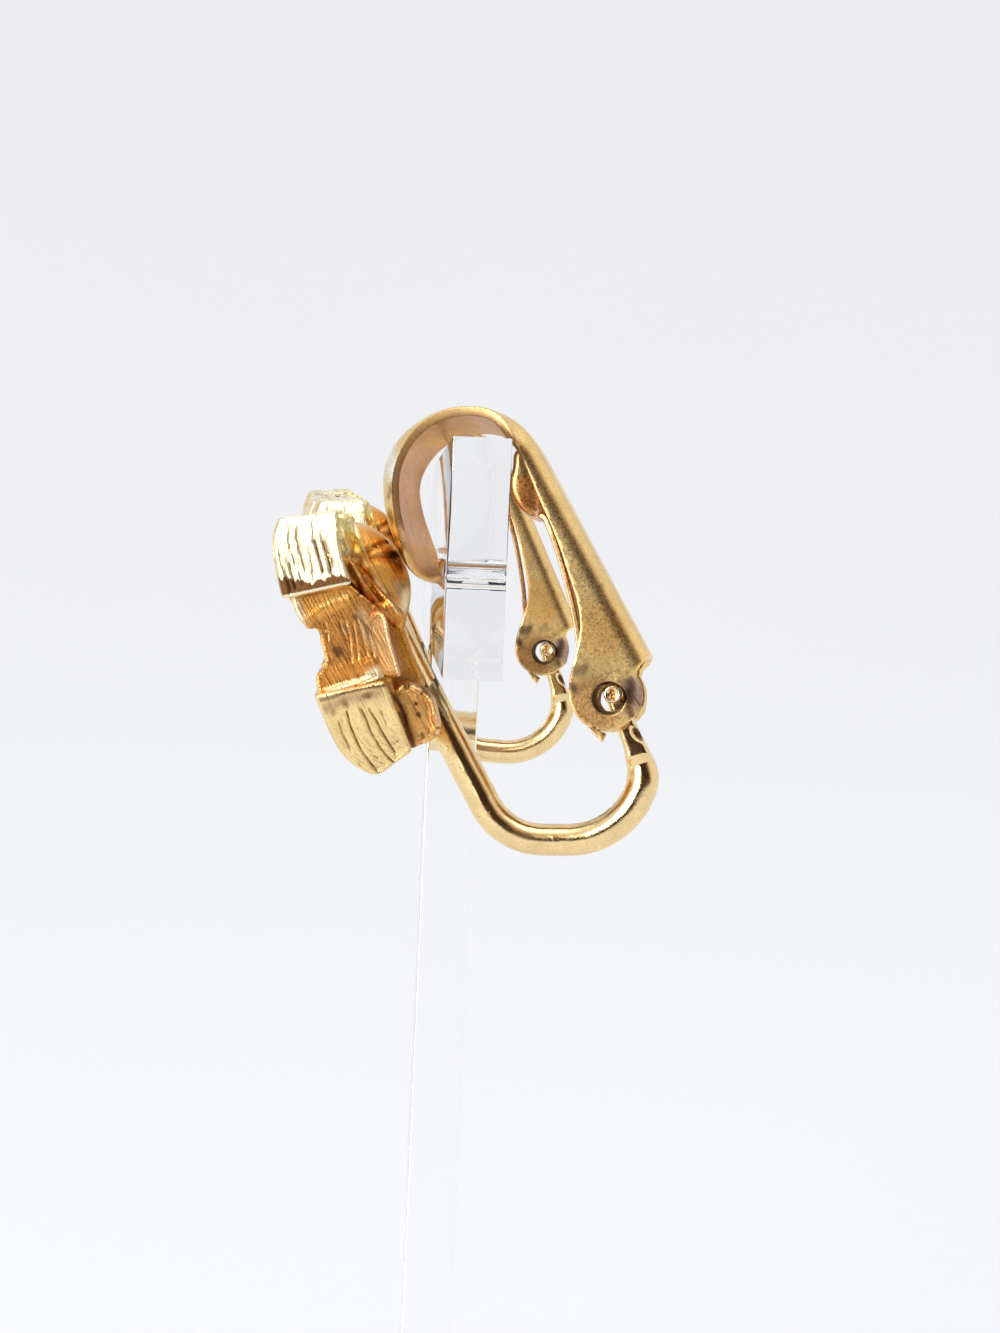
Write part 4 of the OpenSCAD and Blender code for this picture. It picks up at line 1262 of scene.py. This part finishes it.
# cast back: side views of its blocks, then (line, width, height) to cut and (line, width, colour, strength) to paint
castBack = {
    "body": [[-3, -2.2], [-4.1, 0.5], [-3.1, 3], [-3, 6], [-2.6, 9], [-0.9, 9.4], [0, 8.6], [-0.9, 6], [-0.6, 4],
             [-1, 1], [-1.7, -2.2]],
    "footStrap": [[-2.2, -2.9], [-1.2, -3.05], [-0.4, -3.05], [-0.1, -2.7], [0.12, -1.9], [0.26, -1.1],
                  [-0.08, -0.45], [-0.62, 0.18], [-1.6, 0]],
    "seat": [[-1.6, -0.6], [0.2, -0.8], [0.3, 0.7], [0.65, 2.8], [0.7, 3.4], [0.4, 4.4], [-1.6, 4.4]],
    "lip": [[-0.5, 4.0], [-0.05, 4.1], [0.2, 3.55], [-0.15, 2.55], [-0.34, 1.62], [-0.5, 0.68], [-0.65, 0.55],
            [-1.45, 0.85], [-1.4, 1.86], [-1.1, 2.84], [-0.8, 3.9]],
    "rib": [[-0.9, 7.3], [-0.4, 7.35], [0.05, 6.3], [0.45, 4.7], [0.98, 3.0], [0.4, 2.4], [-0.1, 3.9], [-0.5, 5.4]],
    "shoulder": [[-0.6, 6.6], [0.05, 6.75], [0.6, 7.6], [1.02, 8.7], [0.6, 9.15], [-0.4, 9.2]],
    "relief": [
        (ridges[0], 0.13, 0.2),
        (ridges[1], 0.12, 0.2),
        ([(0.5, 8.3), (0.45, 7.8), (0.37, 7.3)], 0.16, -0.25),
        (ridges[2], 0.1, 0.14),
        (ridges[3], 0.11, 0.2),
        (ridges[4], 0.12, -0.2),
        (ridges[5], 0.12, -0.25),
        (ridges[6], 0.14, -0.3),
        (ridges[7], 0.2, -0.3),
        ([(-0.13, -0.7), (-0.24, -1.68), (-0.62, -2.52)], 0.1, -0.12),
        ([(0.1, -1.1), (-0.05, -1.87), (-0.4, -2.7)], 0.08, 0.1)],
    # besides tone, the cream lines are painted highlights along the ridges, edges and the boss's rim, and the
    # near-black ones painted shade in the gap to the bottom block and the pad's shadow on the boss
    "lines": [
        (ridges[0], 0.12, (1.0, 0.90, 0.55), 1.0),
        (ridges[1], 0.11, (1.0, 0.92, 0.6), 1.0),
        ([(0.52, 7.9), (0.45, 7.5), (0.37, 7.2)], 0.17, (0.95, 0.55, 0.08), 0.9),
        ([(-0.13, 7.05), (0.38, 6.8), (0.6, 6.55)], 0.2, (0.60, 0.27, 0.06), 0.9),
        (ridges[2], 0.08, (1.0, 0.66, 0.3), 0.8),
        (ridges[3], 0.1, (1.0, 0.76, 0.42), 0.9),
        (ridges[4], 0.13, (0.35, 0.14, 0.03), 0.85),
        (ridges[5], 0.13, (0.45, 0.17, 0.03), 0.85),
        ([(-0.06, 4.9), (-0.16, 4.25)], 0.16, (0.75, 0.20, 0.05), 0.8),
        (ridges[6], 0.12, (0.35, 0.12, 0.02), 0.8),
        (ridges[7], 0.2, (0.50, 0.17, 0.03), 0.7),
        ([(1.72, 6.0), (2.2, 5.9)], 0.15, (0.08, 0.03, 0.03), 0.85),
        ([(1.1, 5.3), (1.6, 5.1), (2.1, 4.9)], 0.4, (1.0, 0.55, 0.10), 0.8),
        ([(2.25, 4.9), (2.2, 4.2), (2.05, 3.5)], 0.16, (1.0, 0.86, 0.6), 0.8),
        ([(1.4, 8.1), (1.72, 7.62), (1.98, 7.06), (2.11, 6.62), (2.14, 6.25)], 0.09, (1.0, 0.85, 0.6), 0.9),
        ([(1.42, 4.5), (1.28, 3.73), (1.14, 3.28)], 0.25, (0.98, 0.78, 0.45), 0.9),
        ([(-1.4, -0.1), (-1.36, -0.79), (-1.42, -1.34), (-1.6, -2.13), (-1.75, -2.95)], 0.15,
         (0.10, 0.03, 0.015), 1.0),
        ([(0.15, 3.6), (-0.2, 2.55), (-0.38, 1.62), (-0.55, 0.75)], 0.18, (0.90, 0.58, 0.30), 0.85),
        ([(-0.8, 0.2), (-0.37, -0.05), (-0.08, -0.42)], 0.14, (1.0, 0.80, 0.45), 0.9),
        ([(0.2, -1.1), (0.06, -1.87), (-0.33, -2.84)], 0.12, (1.0, 0.72, 0.36), 0.8)],
    # the first two are painted shade in the gap to the bottom block and the pad's shadow on the boss; the rest are
    # stains
    "stainsAndShade": [((-1.7, -4.7, -1.7), (0.3, 1.2, 1.7), 0.7), ((2.1, -1.5, 5.9), (0.4, 1.8, 0.35), 0.8),
               ((-0.2, -4.4, 4.5), (0.35, 1.0, 0.8), 0.4), ((-0.65, -4.8, -1.05), (0.2, 0.5, 0.2), 0.8),
               ((-0.79, -4.8, -1.65), (0.2, 0.5, 0.25), 0.7), ((-1.1, -4.8, -2.6), (0.2, 0.5, 0.2), 0.7),
               ((-0.8, -4.8, -1.3), (0.7, 0.5, 1.3), 0.3)],
}

# the cast back's blocks across the ornament: view, its two edges, swell, bark and tint, with the outer ones in pairs
castBlocks = []
for view, edgeIn, edgeOut, swell, bark, tint in (
        ("body", -5.2, 5.2, 0.0, 0.5, (0.74, 0.38, 0.09)), ("footStrap", 2.0, 4.8, 0.08, 0.9, (0.95, 0.52, 0.17)),
        ("seat", -2.6, 2.6, 0.0, 0.15, (0.86, 0.42, 0.08)), ("lip", 4.6, 6.05, 0.0, 0.1, (0.62, 0.35, 0.14)),
        ("rib", 2.2, 4.5, 0.1, 0.7, (0.88, 0.42, 0.08)), ("shoulder", 1.8, 4.3, 0.0, 0.4, (1.0, 0.93, 0.46))):
    if edgeIn > 0:
        castBlocks.append((view, -edgeOut, -edgeIn, swell, bark, tint))
    castBlocks.append((view, edgeIn, edgeOut, swell, bark, tint))
boss = {"centre": (-0.75, 0.0, 5.6), "radii": (2.95, 3.3, 3.4), "squareness": 2.6, "rings": 44, "sides": 96,
        "bark": 0.1, "tint": (0.92, 0.52, 0.14)}


# the rounded pad behind the ornament that meets the ear
def buildBoss():
    rings, sides = boss["rings"], boss["sides"]
    (cx, cy, cz), (rx, ry, rz), power = boss["centre"], boss["radii"], boss["squareness"]
    points, faces = [], []
    for i in range(rings + 1):
        a = math.radians(100) * (1 - i / rings) + 0.004
        for k in range(sides):
            b = 2 * math.pi * k / sides
            y, z = math.sin(a) * math.cos(b), math.sin(a) * math.sin(b)
            squared = 1.0 / (abs(y) ** power + abs(z) ** power + 1e-9) ** (1 / power) * math.hypot(y, z)
            points.append((cx + rx * math.cos(a), cy + ry * y * squared, cz + rz * z * squared))
    for i in range(rings):
        faces += ringFaces(i * sides, (i + 1) * sides, sides)
    points += [(cx + rx, cy, cz), (cx - 0.5, cy, cz)]
    faces += fanFaces(rings * sides, len(points) - 2, sides) + fanFaces(0, len(points) - 1, sides, True)
    return np.array(points), faces


def buildCastBack():
    parts = []
    for key, (view, y0, y1, swell, bark, _) in enumerate(castBlocks):
        points, faces, values = crossStrap(castBack[view], y0, y1, 0, key + 50, step=0.16, fineStep=0.12, rho=0.22,
                                           swell=swell, caps=10)
        values["barky"] = values["barky"] * bark
        values["cut"] = np.zeros(len(points))
        values["kind"] = np.full(len(points), float(key))
        relief(points, castBack["relief"], 1.6)
        side = np.sign(points[:, 1]) * smooth(np.abs(points[:, 1]), 1.8, 4.0)
        if view == "lip":
            # the lip's face slopes into the recess
            points[:, 1] -= side * 0.75 * np.clip(-0.72 + 0.283 * (points[:, 2] - 0.55) - points[:, 0], 0, 1.2)
        if view == "shoulder":
            # the shoulder's face slopes back to the pad
            points[:, 1] -= side * 0.85 * np.clip(points[:, 0] + 0.2, 0, 2)
        parts.append((points, faces, values))
    points, faces = buildBoss()
    relief(points, castBack["relief"], 1.0)
    parts.append((points, faces, {
        "fibre": points * [1, 1, 0.2], "barky": np.full(len(points), boss["bark"]), "cut": np.zeros(len(points)),
        "kind": np.full(len(points), float(len(castBlocks)))}))
    points, faces, values = joined(parts)
    return shapedBy(barkTree, makeMesh("castBack", points, faces, **values), {
        "Groove Depth": 0.1, "Groove Spacing": 0.6, "Groove Length": 3.5, "Groove Width": 0.08,
        "Fibre Depth": 0.08, "Seed": 5.0, "Material": castGold})


backMesh = buildCastBack()
blockTints = np.array([tint for *_, tint in castBlocks] + [boss["tint"]])
backTint = blockTints[np.round(readValues(backMesh, "kind")).astype(int)]
backGrime = np.clip(readValues(backMesh, "groove") * 0.8, 0, 1)
paintMetal(backMesh, backTint, (), castBack["stainsAndShade"], backGrime, castBack["lines"], sideFrom=0.5, facing=(0.05, 0.3))
backMesh.transform(seat)
print("cast back built:", len(backMesh.polygons), "faces")

# each piece of an earring: name, mesh, the node it stands for, material, and the angle at which edges stay sharp
earringPieces = [
    ("bailWire_%s", bailMesh, "front_", wireGold, 70),
    ("hingePeg_%s", pegMesh, "front_", wireGold, 50),
    ("topStraps_%s", strapMeshes["top"], "front_", castGold, 60),
    ("middleStraps_%s", strapMeshes["middle"], "front_", castGold, 60),
    ("bottomStraps_%s", strapMeshes["bottom"], "front_", castGold, 60),
    ("castBack_%s", backMesh, "front_", castGold, 60),
    ("lever_%s_sheet", leverMesh, "lever_", sheetGold, 40),
    ("earHoles_%s", eyeletMesh, "lever_", sheetGold, 60),
    ("leafBump_%s", bulgeMesh, "spring_", sheetGold, 60),
    ("leafSpring_%s", leafMesh, "spring_", sheetGold, 60),
]

for which in places:
    matrix = earringMatrix(which)
    for name, mesh, node, metal, sharp in earringPieces:
        body, plate = ("ornament_" + which, "gold_plate") if node == "front_" else ("stand", "worn_gold_plate")
        finishPiece(name % which, mesh, matrix, body, node + which, metal, sharp)
print("earrings placed")

# clear stand: bar and stem cut from one sheet
stand = {"height": 80.0, "barLong": 62.0, "barHigh": 12.2, "sheet": 3.0, "stemWide": 11.0, "stemFrom": 1.1,
         "holeHigh": 73.0, "holeOut": 27.6, "hole": 0.7, "bevel": 0.1}


def clearMaterial():
    made, tree = newMaterial("clearAcrylic")
    spot = addNode(tree, "ShaderNodeTexCoord").outputs["Object"]
    wear = noiseNode(tree, spot, 900.0, 4.0).outputs[0]
    dust = noiseNode(tree, spot, 160.0, 3.0).outputs[0]
    bump = addNode(tree, "ShaderNodeBump", {"Height": wear, "Strength": 0.03, "Distance": 0.0001})
    endMaterial(tree, {
        "Base Color": toned(tree, dust, (1.0, 1.0, 1.0), (0.97, 0.975, 0.98)),
        "Roughness": mapped(tree, dust, 0.4, 0.75, 0.01, 0.07), "IOR": 1.49, "Transmission Weight": 1.0,
        "Normal": bump.outputs[0]})
    return made


# a sheet cut to outlines drawn in xy, with softened edges, as a closed mesh in mm
def flatSheet(name, outlines, thick, bevel):
    curve = bpy.data.curves.new(name, "CURVE")
    curve.dimensions, curve.fill_mode = "2D", "BOTH"
    curve.extrude, curve.bevel_depth, curve.bevel_resolution = thick / 2 - bevel, bevel, 2
    curve.offset = -bevel
    for outline in outlines:
        spline = curve.splines.new("POLY")
        spline.points.add(len(outline) - 1)
        for point, (x, y) in zip(spline.points, outline):
            point.co = (x, y, 0, 1)
        spline.use_cyclic_u = True
    mesh = bakedMesh(linked("worker", curve))
    work = bmesh.new()
    work.from_mesh(mesh)
    bmesh.ops.remove_doubles(work, verts=work.verts, dist=1e-4)
    bmesh.ops.recalc_face_normals(work, faces=work.faces)
    work.to_mesh(mesh)
    work.free()
    return mesh


def buildTee():
    bar, stem, low = stand["barLong"] / 2, stand["stemWide"] / 2, stand["height"] - stand["barHigh"]
    outline = [(-bar, low), (-stem, low), (-stem, stand["stemFrom"]), (stem, stand["stemFrom"]),
               (stem, low), (bar, low), (bar, stand["height"]), (-bar, stand["height"])]
    holes = [circle(side * stand["holeOut"], stand["holeHigh"], stand["hole"], 40) for side in (-1, 1)]
    return flatSheet("tee", [outline] + holes, stand["sheet"], stand["bevel"])


# drawn in xy, the tee stands in the yz plane
clearAcrylic = clearMaterial()
teeMatrix = Matrix.Scale(mm, 4) @ Matrix(((0, 0, 1, 0), (1, 0, 0, 0), (0, 1, 0, 0), (0, 0, 0, 1)))
finishPiece("standTee", buildTee(), teeMatrix, "stand", "stand_t", clearAcrylic, 30)

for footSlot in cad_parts["stand_foot"].material_slots:
    footSlot.link = "OBJECT"
    footSlot.material = clearAcrylic
print("stand built")

# camera, fitted to the photo
camera = linked("camera", bpy.data.cameras.new("camera"))
scene.camera = camera
camera.data.sensor_fit, camera.data.sensor_width, camera.data.sensor_height = "VERTICAL", 36, 36
camera.data.lens = 61.12
camera.data.clip_start = 0.005
cameraSpot = Vector((-4.664, -144.559, 74.607)) * mm
right = Vector((0.99772, -0.05067, 0.04463)).normalized()
up = Vector((-0.04182, 0.05530, 0.99759)).normalized()
back = right.cross(up).normalized()
up = back.cross(right).normalized()
camera.matrix_world = Matrix.Translation(cameraSpot) @ Matrix((right, up, back)).transposed().to_4x4()


def paleMaterial():
    made, tree = newMaterial("paleBackdrop")
    spot = addNode(tree, "ShaderNodeTexCoord").outputs["Object"]
    mottled = noiseNode(tree, spot, 3.0, 2.0).outputs[0]
    endMaterial(tree, {
        "Base Color": toned(tree, mottled, (0.18, 0.185, 0.19), (0.20, 0.205, 0.21)), "Roughness": 0.9,
        "Specular IOR Level": 0.0, "Emission Color": (0.965, 0.972, 1.0, 1), "Emission Strength": 0.735})
    return made


# pale floor that curves up into a round wall, open towards the camera's own side
def buildFloor():
    wide, columns = 4.0, 21
    profile = [(-1.2, 0.0), (0.0, 0.0), (0.5, 0.0), (0.75, 0.0)]
    profile += [(0.75 + 0.35 * math.sin(a), 0.35 - 0.35 * math.cos(a)) for a in np.linspace(0.1, math.pi / 2, 10)]
    profile += [(1.1, 0.7), (1.1, 1.6)]
    points = [(wide * (k / (columns - 1) - 0.5), y, z) for y, z in profile for k in range(columns)]
    faces = [(a, a + 1, a + columns + 1, a + columns)
             for i in range(len(profile) - 1) for a in range(i * columns, (i + 1) * columns - 1)]
    mesh = makeMesh("floor", points, faces)
    mesh.shade_smooth()
    mesh.materials.append(paleMaterial())
    linked("floor", mesh)


buildFloor()


def softLight(name, spot, aim, size, power, colour=(1, 1, 1)):
    lamp = bpy.data.lights.new(name, "AREA")
    lamp.shape, lamp.size, lamp.size_y, lamp.energy, lamp.color = "RECTANGLE", size[0], size[1], power, colour
    made = linked(name, lamp)
    made.location = spot
    made.rotation_euler = (Vector(aim) - Vector(spot)).to_track_quat("-Z", "Y").to_euler()


softLight("keyPanel", (-0.33, -0.40, 0.22), (0, -0.02, 0.07), (0.26, 0.26), 2.4, (1, 0.99, 0.96))
softLight("topPanel", (0.02, -0.1, 0.6), (0, 0, 0.05), (0.4, 0.4), 0.8)


# white all round, with a dim warm room on the side that the photographer stands on
def buildSky():
    scene.world = bpy.data.worlds.new("studio")
    scene.world.use_nodes = True
    tree = scene.world.node_tree
    tree.nodes.clear()
    look = vectors(tree, "NORMALIZE", addNode(tree, "ShaderNodeTexCoord").outputs["Generated"])
    toRoom = vectors(tree, "DOT_PRODUCT", look, (0.17, -0.984, 0.05))
    room = addNode(tree, "ShaderNodeValToRGB", {"Fac": toRoom})
    stops = room.color_ramp.elements
    stops[0].position, stops[0].color = 0.60, (0.96, 0.96, 0.96, 1)
    stops[1].position, stops[1].color = 0.86, (0.05, 0.03, 0.022, 1)
    stops.new(0.73).color = (0.60, 0.42, 0.29, 1)
    rays = addNode(tree, "ShaderNodeLightPath").outputs
    # the dim room shows in metal only
    plain = sums(tree, "MAXIMUM", rays["Is Camera Ray"], rays["Is Transmission Ray"])
    shown = mixedColour(tree, plain, room.outputs[0], (0.875, 0.885, 0.915, 1))
    sky = addNode(tree, "ShaderNodeBackground", {"Color": shown})
    tree.links.new(sky.outputs[0], tree.nodes.new("ShaderNodeOutputWorld").inputs["Surface"])


buildSky()
scene.view_settings.view_transform = "Standard"
scene.view_settings.look = "None"
